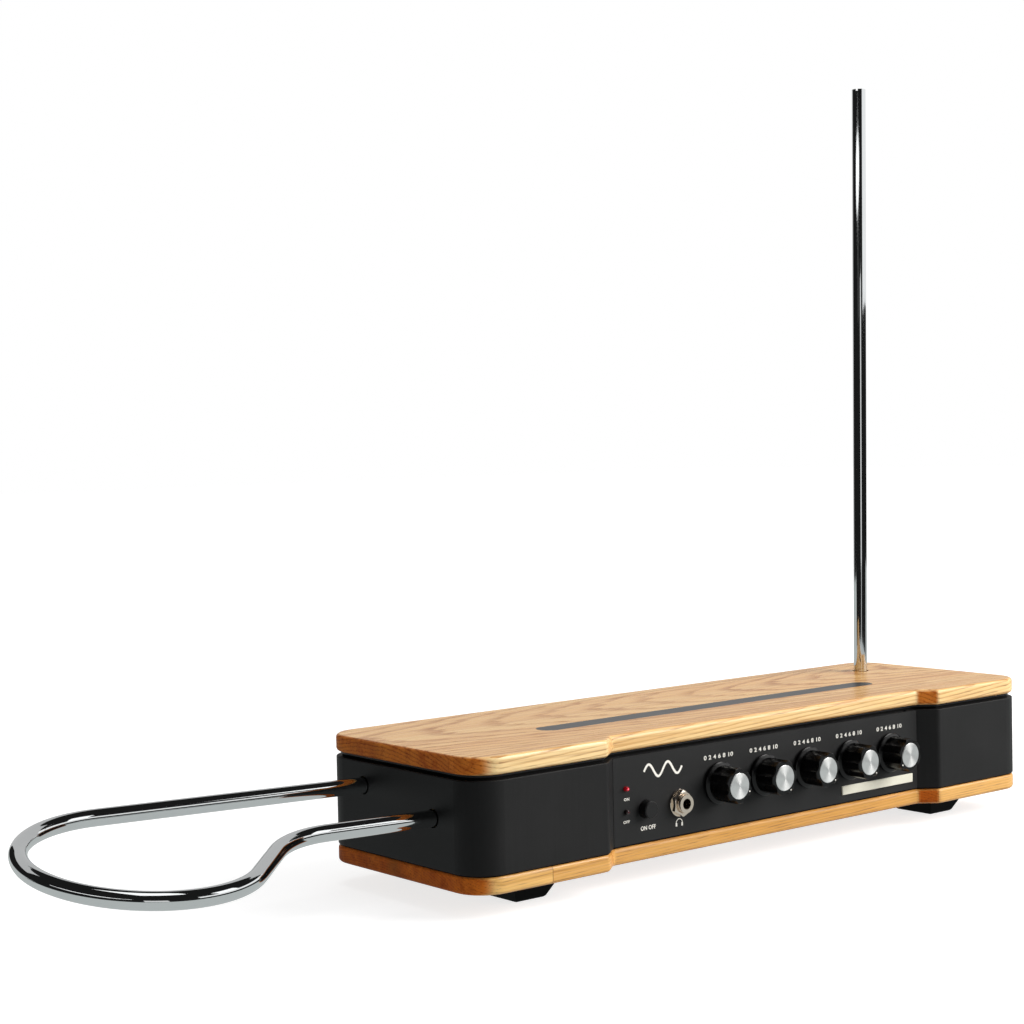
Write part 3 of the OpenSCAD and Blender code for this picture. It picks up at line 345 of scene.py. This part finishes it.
# One material for each slot of the record, apart from the wood.
# coat:    name, colour, roughness, grain, lift, level, brush
# plastic: name, colour, roughness, grain, lift, level
# metal:   name, colour, roughness, streak, scale, lift
# lens:    name, colour, core, glow
MATERIALS = {
    "powder_coat": coat("case powder coat", linear(17, 17, 18), 0.5, 2600, 0.25, 0.24, 0.9),
    "panel_coat": coat("panel powder coat", linear(18, 18, 19), 0.5, 3200, 0.25, 0.3),
    "black_strip": coat("strip", linear(44, 44, 46), 0.3, 2600, 0.1, 0.5),
    "lid_steel": coat("lid coat", linear(19, 19, 20), 0.4, 2600, 0.2, 0.35),
    "seal": plastic("seal foam", linear(10, 10, 10), 0.8, 900, 0.4, 0.1),
    "nickel": metal("nickel plate", (0.80, 0.70, 0.59), 0.12, 0.04),
    "zinc": metal("zinc plate", (0.62, 0.62, 0.60), 0.3, 0.08),
    "foot_rubber": plastic("foot rubber", linear(3, 3, 3), 0.6, 1300, 0.25, 0.05),
    "brass": metal("brass", (0.78, 0.58, 0.28), 0.26, 0.08),
    "board": board_material("circuit board"),
    "knob_plastic": plastic("knob plastic", linear(5, 5, 6), 0.2, 900, 0.02, 0.3),
    "cap_aluminium": spun("spun cap", (0.97, 0.97, 0.96)),
    "button_plastic": plastic("button plastic", linear(12, 12, 13), 0.42, 2600, 0.1, 0.3),
    "dark_plastic": plastic("dark plastic", linear(20, 20, 21), 0.42, 1500, 0.15),
    "red_lens": lens("lit lamp", linear(205, 10, 32), linear(255, 130, 150), 0.8),
    # the unlit lamp keeps a lighter core and a faint glow: painted light
    "dark_red_lens": lens("unlit lamp with painted glow", linear(52, 6, 10), linear(90, 16, 24), 0.02),
    "pale_plastic": plastic("pale plastic", linear(196, 190, 176), 0.4, 1500, 0.1),
    "chips": plastic("chip plastic", linear(30, 30, 32), 0.4, 1500, 0.1),
    "copper": metal("copper wire", (0.82, 0.42, 0.26), 0.28, 0.06, (60, 60, 4000), 0.3),
    "chrome_tube": metal("chrome", (0.765, 0.785, 0.79), 0.04, 0.01, (900, 900, 900)),
}
top_wood = wood("top wood", heart_y=0.026, heart_z=-0.105, slope=0.052, ring=0.0023,
                tones=TOP_TONES, contrast=0.9, seed=3.7)
base_wood = wood("base wood", heart_y=0.03, heart_z=-0.16, slope=0.03, ring=0.0016,
                 tones=BASE_TONES, contrast=0.55, seed=9.1, joint=JOINT_X)
white_ink = ink("white print", linear(242, 240, 232))
cream_plate = cream("cream plate")

slot_of = {s["node"]: s["material_slot"] for s in frame["record"]["subparts"]}
for node, thing in frame["nodes"].items():
    material = MATERIALS.get(slot_of[node])
    if slot_of[node] == "oiled_wood":
        material = top_wood if node == "top_plate" else base_wood
    thing.data.materials.clear()
    thing.data.materials.append(material)


# ---------------------------------------------------------------- piece helpers

PANEL_Y = -64.5 * MM
PRINT_Y = PANEL_Y - 0.04 * MM
LETTER_SPACE = 1.08
LETTER_WEIGHT = 0.022


def piece(name, mesh_builder, material, body, smooth=False):
    """Object from a bmesh that mesh_builder fills, in metres in the part's frame."""
    bm = bmesh.new()
    mesh_builder(bm)
    bmesh.ops.recalc_face_normals(bm, faces=bm.faces)
    mesh = bpy.data.meshes.new(name)
    bm.to_mesh(mesh)
    bm.free()
    if smooth:
        mesh.shade_smooth()
    made = bpy.data.objects.new(name, mesh)
    scene.collection.objects.link(made)
    mesh.materials.append(material)
    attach(made, body)
    return made


def disc(bm, centre, radius, thick, sides):
    """Round pad whose back is at centre and whose front faces -Y."""
    along = Vector((0, 1, 0))
    turn = Vector((0, 0, 1)).rotation_difference(along).to_matrix().to_4x4()
    bmesh.ops.create_cone(
        bm, cap_ends=True, segments=sides, radius1=radius, radius2=radius, depth=thick,
        matrix=Matrix.Translation(Vector(centre) - along * thick / 2) @ turn)


def words(name, text, height, width, x, z):
    """Printed characters on the front panel, as a flat mesh that faces the front."""
    curve = bpy.data.curves.new(name, "FONT")
    curve.body = text
    curve.align_x = "CENTER"
    curve.space_character = LETTER_SPACE
    curve.offset = LETTER_WEIGHT
    made = bpy.data.objects.new(name, curve)
    scene.collection.objects.link(made)
    bpy.context.view_layer.update()
    shaped = made.evaluated_get(bpy.context.evaluated_depsgraph_get())
    mesh = bpy.data.meshes.new_from_object(shaped)
    bpy.data.objects.remove(made)
    bpy.data.curves.remove(curve)
    xs = [v.co.x for v in mesh.vertices]
    ys = [v.co.y for v in mesh.vertices]
    wide = width / (max(xs) - min(xs))
    tall = height / (max(ys) - min(ys))
    cx = (max(xs) + min(xs)) / 2
    cy = (max(ys) + min(ys)) / 2
    for v in mesh.vertices:
        v.co = Vector((x + (v.co.x - cx) * wide, PRINT_Y, z + (v.co.y - cy) * tall))
    mesh.materials.append(white_ink)
    mesh.name = name
    thing = bpy.data.objects.new(name, mesh)
    scene.collection.objects.link(thing)
    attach(thing, "cabinet")


# ---------------------------------------------------------------- knobs' dots and scales

KNOB_X0 = -47.5
KNOB_STEP = 39.6
KNOB_Z = 38.3 * MM
# where each knob's dot points, in degrees clockwise from the top
KNOB_SETTINGS = {"phones_volume": 116, "volume_range": 147, "pitch_range": 138,
                 "waveform": 141, "brightness": -127}
# a dot's distance from the knob's axis and the Y of the face under it, in mm: front, skirt
DOTS = ((9.5, -82.1), (12.0, -66.65))
DOT_R = 0.5 * MM
DOT_THICK = 0.1 * MM
DOT_SUNK = 0.02 * MM
DOT_SIDES = 16
SCALE_TEXT = "0 2 4 6 8 10"
SCALE_HEIGHT = 2.7 * MM
SCALE_WIDTH = 25 * MM
SCALE_Z = 54.7 * MM

for i, (control, setting) in enumerate(KNOB_SETTINGS.items()):
    knob_x = (KNOB_X0 + KNOB_STEP * i) * MM

    def dots(bm, x=knob_x, angle=math.radians(setting)):
        for reach, face_y in DOTS:
            disc(bm, (x + reach * MM * math.sin(angle), face_y * MM + DOT_SUNK,
                      KNOB_Z + reach * MM * math.cos(angle)), DOT_R, DOT_THICK, DOT_SIDES)

    piece(f"knob_dots_{control}", dots, white_ink, control)
    words(f"scale_{control}", SCALE_TEXT, SCALE_HEIGHT, SCALE_WIDTH, knob_x, SCALE_Z)


# ---------------------------------------------------------------- panel marks and plate

# name, text, then height, width, x and z in mm
for name, text, height, width, x, z in (("print_on", "ON", 1.7, 4.2, -123.7, 38.1),
                                        ("print_off", "OFF", 1.7, 5.0, -124.0, 24.8),
                                        ("print_button", "ON OFF", 2.6, 12.0, -106.8, 19.2)):
    words(name, text, height * MM, width * MM, x * MM, z * MM)

# the sine line over the button, in mm
WAVE_LEFT = -109.5
WAVE_LONG = 31
WAVE_MIDDLE = 52.6
WAVE_RISE = 3.9
WAVE_TURNS = 2
WAVE_STEPS = 60
WAVE_WIDE = 1.5

# the headphone sign under its socket, in mm
SIGN_X = -81.5
SIGN_Z = 18.4
BAND_R = 2.5
BAND_STEPS = 20
BAND_WIDE = 0.5
EAR_X = 2.35
EAR_TOP = 0.1
EAR_BOTTOM = -1.9
EAR_WIDE = 1.3

# the name plate: left, right, bottom, top, thickness and eased edge
PLATE = (63.6 * MM, 133.2 * MM, 16.0 * MM, 21.7 * MM, 0.9 * MM, 0.25 * MM)


def stroke(bm, points, width):
    """Flat line along points (x, z in mm) on the front panel."""
    one_side, other_side = [], []
    for k, (x, z) in enumerate(points):
        before = points[max(k - 1, 0)]
        after = points[min(k + 1, len(points) - 1)]
        way = Vector((after[0] - before[0], after[1] - before[1])).normalized()
        side = Vector((-way[1], way[0])) * width / 2
        one_side.append(bm.verts.new(((x + side[0]) * MM, PRINT_Y, (z + side[1]) * MM)))
        other_side.append(bm.verts.new(((x - side[0]) * MM, PRINT_Y, (z - side[1]) * MM)))
    for k in range(len(points) - 1):
        bm.faces.new((one_side[k], other_side[k], other_side[k + 1], one_side[k + 1]))


def sine_mark(bm):
    points = []
    for k in range(WAVE_STEPS + 1):
        rise = WAVE_RISE * math.sin(2 * math.pi * WAVE_TURNS * k / WAVE_STEPS)
        points.append((WAVE_LEFT + WAVE_LONG * k / WAVE_STEPS, WAVE_MIDDLE + rise))
    stroke(bm, points, WAVE_WIDE)


def headphones(bm):
    """Plain sign for headphones: a band and two ear pads."""
    band = []
    for k in range(BAND_STEPS + 1):
        angle = math.pi * k / BAND_STEPS
        band.append((SIGN_X + BAND_R * math.cos(angle), SIGN_Z + BAND_R * math.sin(angle)))
    stroke(bm, band, BAND_WIDE)
    for side in (-1, 1):
        ear_x = SIGN_X + side * EAR_X
        stroke(bm, [(ear_x, SIGN_Z + EAR_TOP), (ear_x, SIGN_Z + EAR_BOTTOM)], EAR_WIDE)


def name_plate(bm):
    """Thin plate on the panel with eased front edges."""
    x0, x1, z0, z1, thick, ease = PLATE
    front = PANEL_Y - thick
    rings = []
    for d, y in ((0, PANEL_Y), (0, front + ease), (ease, front)):
        corners = ((x0 + d, z0 + d), (x1 - d, z0 + d), (x1 - d, z1 - d), (x0 + d, z1 - d))
        rings.append([bm.verts.new((x, y, z)) for x, z in corners])
    for low, high in zip(rings, rings[1:]):
        for k in range(4):
            bm.faces.new((low[k], low[(k + 1) % 4], high[(k + 1) % 4], high[k]))
    bm.faces.new(rings[-1])
    bm.faces.new(rings[0][::-1])


piece("mark_wave", sine_mark, white_ink, "cabinet")
piece("print_headphones", headphones, white_ink, "cabinet")
piece("name_place", name_plate, cream_plate, "cabinet")


# ---------------------------------------------------------------- nuts and threads of the sockets

NUT_BORE_R = 5.55 * MM
NUT_ACROSS = 14 * MM
NUT_TOP = 4.0 * MM
NUT_SIDES = 72
NUT_EASE = 0.3 * MM
# where the chamfer starts, as a share of half the width across flats
CHAMFER_START = 0.97
CHAMFER_ANGLE = math.radians(30)
WASHER_R = 8.25 * MM
WASHER_T = 1.0 * MM
WASHER_SIDES = 48
THREAD_R = 5.62 * MM
THREAD_DEPTH = 0.2 * MM
THREAD_PITCH = 0.75 * MM
THREAD_START = 3.7 * MM
THREAD_END = 6.3 * MM
THREAD_SIDES = 28
# steps over which a thread tapers out at each end
THREAD_FADE = 6
TOWARDS_FRONT = -1
TOWARDS_REAR = 1
PHONES_AT = (-81.0 * MM, PANEL_Y, 30.5 * MM)
REAR_AT = [(x * MM, 71 * MM, 37 * MM) for x in (-70, -42, -14)]


def along_y(points, way):
    """Turns points (r, angle, out) into places round the Y axis; out counts away from the cabinet."""
    return [(r * math.cos(a), way * out, r * math.sin(a)) for r, a, out in points]


def lathe(bm, centre, way, profile, sides):
    """Closed ring body: profile holds (r, out), each a number or a function of the angle."""
    grid = []
    for k in range(sides):
        a = 2 * math.pi * k / sides
        row = [(r(a) if callable(r) else r, a, out(a) if callable(out) else out) for r, out in profile]
        grid.append([bm.verts.new(Vector(centre) + Vector(p)) for p in along_y(row, way)])
    for k in range(sides):
        row, after = grid[k], grid[(k + 1) % sides]
        for j in range(len(profile)):
            j2 = (j + 1) % len(profile)
            bm.faces.new((row[j], after[j], after[j2], row[j2]))


def hex_nut(bm, centre, way):
    """Washer and chamfered hex nut round a bush."""
    lathe(bm, centre, way, [(NUT_BORE_R, 0), (WASHER_R - 0.2 * MM, 0), (WASHER_R, 0.2 * MM),
                            (WASHER_R, WASHER_T - 0.25 * MM), (WASHER_R - 0.25 * MM, WASHER_T),
                            (NUT_BORE_R, WASHER_T)], WASHER_SIDES)
    half = NUT_ACROSS / 2
    chamfer_r = half * CHAMFER_START

    def corner(a):
        return half / math.cos((a + math.pi / 6) % (math.pi / 3) - math.pi / 6)

    def rim(a):
        return NUT_TOP - max(0.0, corner(a) - chamfer_r) * math.tan(CHAMFER_ANGLE)

    lathe(bm, centre, way, [(NUT_BORE_R, WASHER_T), (corner, WASHER_T), (corner, rim),
                            (chamfer_r, NUT_TOP), (NUT_BORE_R + NUT_EASE, NUT_TOP),
                            (NUT_BORE_R, NUT_TOP - NUT_EASE)], NUT_SIDES)


def thread(bm, centre, way):
    """Screw thread: one closed ridge that winds round a bush and tapers out at both ends."""
    length = THREAD_END - THREAD_START - THREAD_PITCH
    turns = length / THREAD_PITCH
    count = int(turns * THREAD_SIDES)
    root = THREAD_R - THREAD_DEPTH
    half = THREAD_PITCH * 0.46
    rows = []
    for k in range(count + 1):
        a = 2 * math.pi * turns * k / count
        mid = THREAD_START + THREAD_PITCH / 2 + length * k / count
        grow = min(1.0, k / THREAD_FADE, (count - k) / THREAD_FADE)
        row = [(root, a, mid - half), (root + THREAD_DEPTH * grow, a, mid), (root, a, mid + half)]
        rows.append([bm.verts.new(Vector(centre) + Vector(p)) for p in along_y(row, way)])
    for low, high in zip(rows, rows[1:]):
        for j in range(3):
            bm.faces.new((low[j], high[j], high[(j + 1) % 3], low[(j + 1) % 3]))
    bm.faces.new(rows[0])
    bm.faces.new(rows[-1][::-1])


def rear_nuts(bm):
    for place in REAR_AT:
        hex_nut(bm, place, TOWARDS_REAR)


def rear_threads(bm):
    for place in REAR_AT:
        thread(bm, place, TOWARDS_REAR)


nickel = MATERIALS["nickel"]
nut = piece("phones_nut", lambda bm: hex_nut(bm, PHONES_AT, TOWARDS_FRONT),
            nickel, "cabinet")
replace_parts(nut, "phones_jack_nut")
piece("phones_thread", lambda bm: thread(bm, PHONES_AT, TOWARDS_FRONT),
      nickel, "cabinet", smooth=True)
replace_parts(piece("rear_nuts", rear_nuts, nickel, "cabinet"), "rear_jack_nuts")
piece("rear_threads", rear_threads, nickel, "cabinet", smooth=True)


# ---------------------------------------------------------------- loop antenna as one smooth tube

# a little under the CAD's 4.75 mm, so that the smooth tube stays in the faceted one's box
TUBE_R = 4.725 * MM
TUBE_BORE_R = 3.75 * MM
TUBE_SIDES = 80
BEND_STEP = 1.25
LOOP_AT = (-243 * MM, -34.3 * MM, 39.4 * MM)
LOOP_TILT = math.radians(8.8)
LOOP_RISE = math.radians(1.7)


def loop_path():
    """Points and headings of the tube's centre line in the loop's own plane."""
    leg_in, gap, rear_leg = 32 * MM, 67.9 * MM, 172.5 * MM
    wide_r, round_r, back_r = 71 * MM, 60 * MM, 62.5 * MM
    wide, back = math.radians(83), math.radians(44.5)
    around = math.pi + back - wide
    turned = math.pi / 2 + wide
    wide_c = Vector((-rear_leg, gap - wide_r))
    round_c = wide_c + (wide_r - round_r) * Vector((math.cos(turned), math.sin(turned)))
    round_end = round_c + round_r * Vector((math.sin(back), -math.cos(back)))
    slant = (-round_end.y - back_r * (1 - math.cos(back))) / math.sin(back)
    spot, heading = Vector((leg_in, gap)), math.pi
    path = [(spot.copy(), heading)]

    def run(length, steps):
        nonlocal spot
        way = Vector((math.cos(heading), math.sin(heading)))
        for _ in range(steps):
            spot = spot + way * length / steps
            path.append((spot.copy(), heading))

    def bend(radius, angle):
        nonlocal spot, heading
        side = 1 if angle > 0 else -1
        centre = spot + side * radius * Vector((-math.sin(heading), math.cos(heading)))
        steps = math.ceil(abs(math.degrees(angle)) / BEND_STEP)
        for _ in range(steps):
            heading += angle / steps
            spot = centre - side * radius * Vector((-math.sin(heading), math.cos(heading)))
            path.append((spot.copy(), heading))

    run(rear_leg + leg_in, 24)
    bend(wide_r, wide)
    bend(round_r, around)
    run(slant, 8)
    bend(back_r, -back)
    run(leg_in - spot.x, 20)
    return path


def loop_tube(bm):
    """Outer and inner skin swept along the path, joined at both ends."""
    place = (Matrix.Translation(LOOP_AT) @ Matrix.Rotation(LOOP_TILT, 4, "X")
             @ Matrix.Rotation(LOOP_RISE, 4, "Y"))
    skins = []
    for radius in (TUBE_R, TUBE_BORE_R):
        rows = []
        for spot, heading in loop_path():
            side = Vector((-math.sin(heading), math.cos(heading), 0))
            centre = Vector((spot.x, spot.y, 0))
            row = []
            for k in range(TUBE_SIDES):
                a = 2 * math.pi * k / TUBE_SIDES
                spoke = side * math.cos(a) + Vector((0, 0, math.sin(a)))
                row.append(bm.verts.new(place @ (centre + radius * spoke)))
            rows.append(row)
        skins.append(rows)
        for low, high in zip(rows, rows[1:]):
            for k in range(TUBE_SIDES):
                k2 = (k + 1) % TUBE_SIDES
                bm.faces.new((low[k], low[k2], high[k2], high[k]))
    outer, inner = skins
    for end in (0, -1):
        for k in range(TUBE_SIDES):
            k2 = (k + 1) % TUBE_SIDES
            bm.faces.new((outer[end][k], outer[end][k2], inner[end][k2], inner[end][k]))


loop = piece("loop_tube", loop_tube, MATERIALS["chrome_tube"], "volume_antenna",
             smooth=True)
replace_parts(loop, "volume_antenna")


# ---------------------------------------------------------------- floor and world

FLOOR_Z = -0.014
FLOOR_HALF = 9
FLOOR_GREY = 0.5
# the floor's glow near the object and further out, and the distances between which it rises
FLOOR_GLOW = 0.76
FLOOR_GLOW_FAR = 1.0
GLOW_NEAR_R = 0.45
GLOW_FAR_R = 1.5
WORLD_FILL = 0.24


def sheet(x0, x1, y0, y1, z):
    """Corners of a level rectangle."""
    return [(x0, y0, z), (x1, y0, z), (x1, y1, z), (x0, y1, z)]


def stage_plate(name, corners, material):
    """One face that belongs to the studio and not to the object."""
    mesh = bpy.data.meshes.new(name)
    mesh.from_pydata([Vector(c) for c in corners], [], [tuple(range(len(corners)))])
    made = bpy.data.objects.new(name, mesh)
    scene.collection.objects.link(made)
    mesh.materials.append(material)
    return made


def empty_tree(owner):
    """Node tree of a material or a world, with nothing in it."""
    owner.use_nodes = True
    owner.node_tree.nodes.clear()
    return owner.node_tree


def seen_rays(tree):
    """1 for camera, glossy and transmission rays, and 0 for all others."""
    ray = tree.nodes.new("ShaderNodeLightPath")
    total = ray.outputs["Is Camera Ray"]
    for name in ("Is Glossy Ray", "Is Transmission Ray"):
        either = tree.nodes.new("ShaderNodeMath")
        either.operation = "MAXIMUM"
        tree.links.new(total, either.inputs[0])
        tree.links.new(ray.outputs[name], either.inputs[1])
        total = either.outputs[0]
    return total


def floor_material():
    """Grey floor that takes shadows, with a glow that only the rays of seen_rays meet."""
    made = bpy.data.materials.new("floor")
    tree = empty_tree(made)
    out = tree.nodes.new("ShaderNodeOutputMaterial")
    diffuse = tree.nodes.new("ShaderNodeBsdfDiffuse")
    diffuse.inputs["Color"].default_value = (FLOOR_GREY, FLOOR_GREY, FLOOR_GREY, 1)
    glow = tree.nodes.new("ShaderNodeEmission")
    both = tree.nodes.new("ShaderNodeAddShader")
    strength = tree.nodes.new("ShaderNodeMath")
    strength.operation = "MULTIPLY"
    place = tree.nodes.new("ShaderNodeTexCoord")
    away = tree.nodes.new("ShaderNodeVectorMath")
    away.operation = "LENGTH"
    rise = tree.nodes.new("ShaderNodeMapRange")
    rise.interpolation_type = "SMOOTHSTEP"
    for key, value in (("From Min", GLOW_NEAR_R), ("From Max", GLOW_FAR_R),
                       ("To Min", FLOOR_GLOW), ("To Max", FLOOR_GLOW_FAR)):
        rise.inputs[key].default_value = value
    tree.links.new(place.outputs["Object"], away.inputs[0])
    tree.links.new(away.outputs["Value"], rise.inputs["Value"])
    tree.links.new(rise.outputs[0], strength.inputs[1])
    tree.links.new(seen_rays(tree), strength.inputs[0])
    tree.links.new(strength.outputs[0], glow.inputs["Strength"])
    tree.links.new(diffuse.outputs[0], both.inputs[0])
    tree.links.new(glow.outputs[0], both.inputs[1])
    tree.links.new(both.outputs[0], out.inputs["Surface"])
    return made


def studio_world():
    """White where it is seen, and a weak fill for all other rays."""
    made = bpy.data.worlds.new("studio")
    tree = empty_tree(made)
    out = tree.nodes.new("ShaderNodeOutputWorld")
    back = tree.nodes.new("ShaderNodeBackground")
    level = tree.nodes.new("ShaderNodeMapRange")
    level.inputs["To Min"].default_value = WORLD_FILL
    level.inputs["To Max"].default_value = 1.0
    tree.links.new(seen_rays(tree), level.inputs["Value"])
    back.inputs["Color"].default_value = (1, 1, 1, 1)
    tree.links.new(level.outputs[0], back.inputs["Strength"])
    tree.links.new(back.outputs[0], out.inputs["Surface"])
    return made


stage_plate("floor", sheet(-FLOOR_HALF, FLOOR_HALF, -FLOOR_HALF, FLOOR_HALF, FLOOR_Z),
            floor_material())
scene.world = studio_world()


# ---------------------------------------------------------------- cards that only mirrors see

DARK = 0.012
FLOOR_SEEN = 0.55
FLOOR_SEEN_TINT = (0.95, 1.0, 0.99)
REAR_LEVEL = 0.54
# the flags stand all round at FLAG_R, and the lit walls just inside them
FLAG_R = 2.4
LIT_R = 2.3
CEILING_Z = 2.4
# the lowest edge of walls, and the floor cards one above the other
ABOVE_FLOOR = FLOOR_Z + 0.002
WALL_PART = 8
FLOOR_PART = 15
LAMP_PARTS = 8
LAMP_PART = 7.9
LAMP_Z = 0.765
LAMP_HALF = 0.08


def card_material(name, level, tint):
    made = bpy.data.materials.new(name)
    tree = empty_tree(made)
    out = tree.nodes.new("ShaderNodeOutputMaterial")
    glow = tree.nodes.new("ShaderNodeEmission")
    glow.inputs["Color"].default_value = (*tint, 1)
    glow.inputs["Strength"].default_value = level
    tree.links.new(glow.outputs[0], out.inputs["Surface"])
    return made


def card(name, corners, level, tint=(1, 1, 1)):
    """Studio card that only glossy rays meet: a black flag or a lit panel."""
    made = stage_plate(name, corners, card_material(name, level, tint))
    made.visible_camera = False
    made.visible_diffuse = False
    made.visible_shadow = False
    made.visible_transmission = False
    made.visible_volume_scatter = False


def on_circle(radius, degrees, z):
    angle = math.radians(degrees)
    return (radius * math.cos(angle), radius * math.sin(angle), z)


def wall(name, a0, a1, z0, z1, level, radius=LIT_R):
    """Upright card round the object between two angles, in degrees from +X."""
    steps = max(1, round(abs(a1 - a0) / WALL_PART))
    for k in range(steps):
        b0 = a0 + (a1 - a0) * k / steps
        b1 = a0 + (a1 - a0) * (k + 1) / steps
        card(f"{name}_{k}", [on_circle(radius, b0, z0), on_circle(radius, b1, z0),
                             on_circle(radius, b1, z1), on_circle(radius, b0, z1)], level)


def floor_fan(name, a0, a1, near, far, z, level):
    """Card on the floor between two angles and two distances."""
    card(name, [on_circle(near, a0, z), on_circle(far, a0, z),
                on_circle(far, a1, z), on_circle(near, a1, z)], level)


card("floor_grey", sheet(-2.6, 2.6, -2.6, 2.6, FLOOR_Z + 0.0006), FLOOR_SEEN, FLOOR_SEEN_TINT)
wall("flag_round", 0, 360, FLOOR_Z + 0.001, CEILING_Z, DARK, FLAG_R)
# mirrors see the floor on the camera's side as dark from 0.95 m on
for k in range(12):
    floor_fan(f"floor_dark_{k}", 150 + FLOOR_PART * k, 165 + FLOOR_PART * k,
              0.95, 2.7, FLOOR_Z + 0.0012, DARK)
floor_fan("strip_floor", 243, 254, 0.9, 2.29, FLOOR_Z + 0.0018, 0.5)
wall("strip_right", 236, 255, ABOVE_FLOOR, 0.54, 0.75)
# wide flat lamp behind the camera, thick in the middle
for k in range(LAMP_PARTS):
    across = (k - 3.5) / 4
    half = LAMP_HALF * math.sqrt(1 - across * across)
    start = 165 + LAMP_PART * k
    wall(f"lamp_camera_{k}", start, start + LAMP_PART, LAMP_Z - half, LAMP_Z + half, 1.4)
wall("lamp_halo", 198, 212, 0.48, 0.92, 0.1, 2.35)
wall("side_right", 283, 375, 0.45, 1.0, 1.0)
wall("rear_lit", 15, 92, ABOVE_FLOOR, 2.0, REAR_LEVEL)
wall("rear_left_lit", 92, 135, 1.1, 2.2, REAR_LEVEL)
card("ceiling_dark", sheet(-2.5, 2.5, -2.5, 2.5, CEILING_Z), DARK)
card("ceiling_box", sheet(-0.6, 0.45, -0.85, 0.5, 2.3), 1.3)


# ---------------------------------------------------------------- lights

KEY_AT = Vector((1.9, -1.7, 1.45))
KEY_AIM = (0.0, 0.0, 0.04)
KEY_WIDE = 2.2
KEY_HIGH = 2.0
KEY_WATTS = 120
KEY_TINT = (1.0, 0.985, 0.96)
KEY_CARD_AT = Vector((1.66, -1.48, 1.14))
KEY_CARD_HALF_WIDE = 0.5
KEY_CARD_HALF_HIGH = 0.66
KEY_CARD_LEVEL = 1.35
OVERHEAD_AT = (0.0, 0.1, 2.2)
OVERHEAD_SIZE = 1.4
OVERHEAD_WATTS = 11


def area_light(name, at, target, wide, high, power, tint=(1, 1, 1), gloss=True):
    data = bpy.data.lights.new(name, "AREA")
    data.shape = "RECTANGLE"
    data.size = wide
    data.size_y = high
    data.energy = power
    data.color = tint
    made = bpy.data.objects.new(name, data)
    scene.collection.objects.link(made)
    made.location = at
    way = Vector(target) - Vector(at)
    made.rotation_euler = way.to_track_quat("-Z", "Y").to_euler()
    made.visible_camera = False
    made.visible_glossy = gloss
    return made


key = area_light("key", KEY_AT, KEY_AIM, KEY_WIDE, KEY_HIGH, KEY_WATTS, KEY_TINT)
# the key leaves the chrome tubes out, and they mirror a white card that is much less bright
mirrors = bpy.data.collections.new("mirrors")
mirrors.objects.link(frame["nodes"]["pitch_antenna"])
mirrors.objects.link(loop)
key.light_linking.receiver_collection = mirrors
for item in mirrors.collection_objects:
    item.light_linking.link_state = "EXCLUDE"
key_side = Vector((1.7, 1.9, 0)).normalized() * KEY_CARD_HALF_WIDE
key_rise = key_side.cross(KEY_AT).normalized() * -KEY_CARD_HALF_HIGH
card("key_card", [KEY_CARD_AT - key_side - key_rise, KEY_CARD_AT + key_side - key_rise,
                  KEY_CARD_AT + key_side + key_rise, KEY_CARD_AT - key_side + key_rise],
     KEY_CARD_LEVEL)
area_light("overhead", OVERHEAD_AT, (0.0, 0.0, 0.0), OVERHEAD_SIZE, OVERHEAD_SIZE,
           OVERHEAD_WATTS, gloss=False)


# ---------------------------------------------------------------- camera

# fitted to the photograph
CAMERA_AT = (-0.9051, -0.9254, 0.2536)
YAW = math.radians(39.10)
PITCH = math.radians(2.25)
ROLL = math.radians(-1.23)
LENS_MM = 70.15
SENSOR_MM = 36.0
CLIP_END = 40


def camera_turn():
    """Turn of a camera that looks YAW right of +Y and PITCH down, with its picture rolled."""
    up = Vector((0, 0, 1))
    ahead = Vector((math.sin(YAW), math.cos(YAW), 0))
    right = Vector((math.cos(YAW), -math.sin(YAW), 0))
    look = ahead * math.cos(PITCH) - up * math.sin(PITCH)
    top = up * math.cos(PITCH) + ahead * math.sin(PITCH)
    rolled_right = right * math.cos(ROLL) + top * math.sin(ROLL)
    rolled_top = -right * math.sin(ROLL) + top * math.cos(ROLL)
    return Matrix((rolled_right, rolled_top, -look)).transposed().to_4x4()


camera_data = bpy.data.cameras.new("camera")
camera_data.sensor_width = SENSOR_MM
camera_data.lens = LENS_MM
camera_data.clip_end = CLIP_END
camera = bpy.data.objects.new("camera", camera_data)
scene.collection.objects.link(camera)
scene.camera = camera
camera.matrix_world = Matrix.Translation(CAMERA_AT) @ camera_turn()

scene.view_settings.view_transform = "Standard"
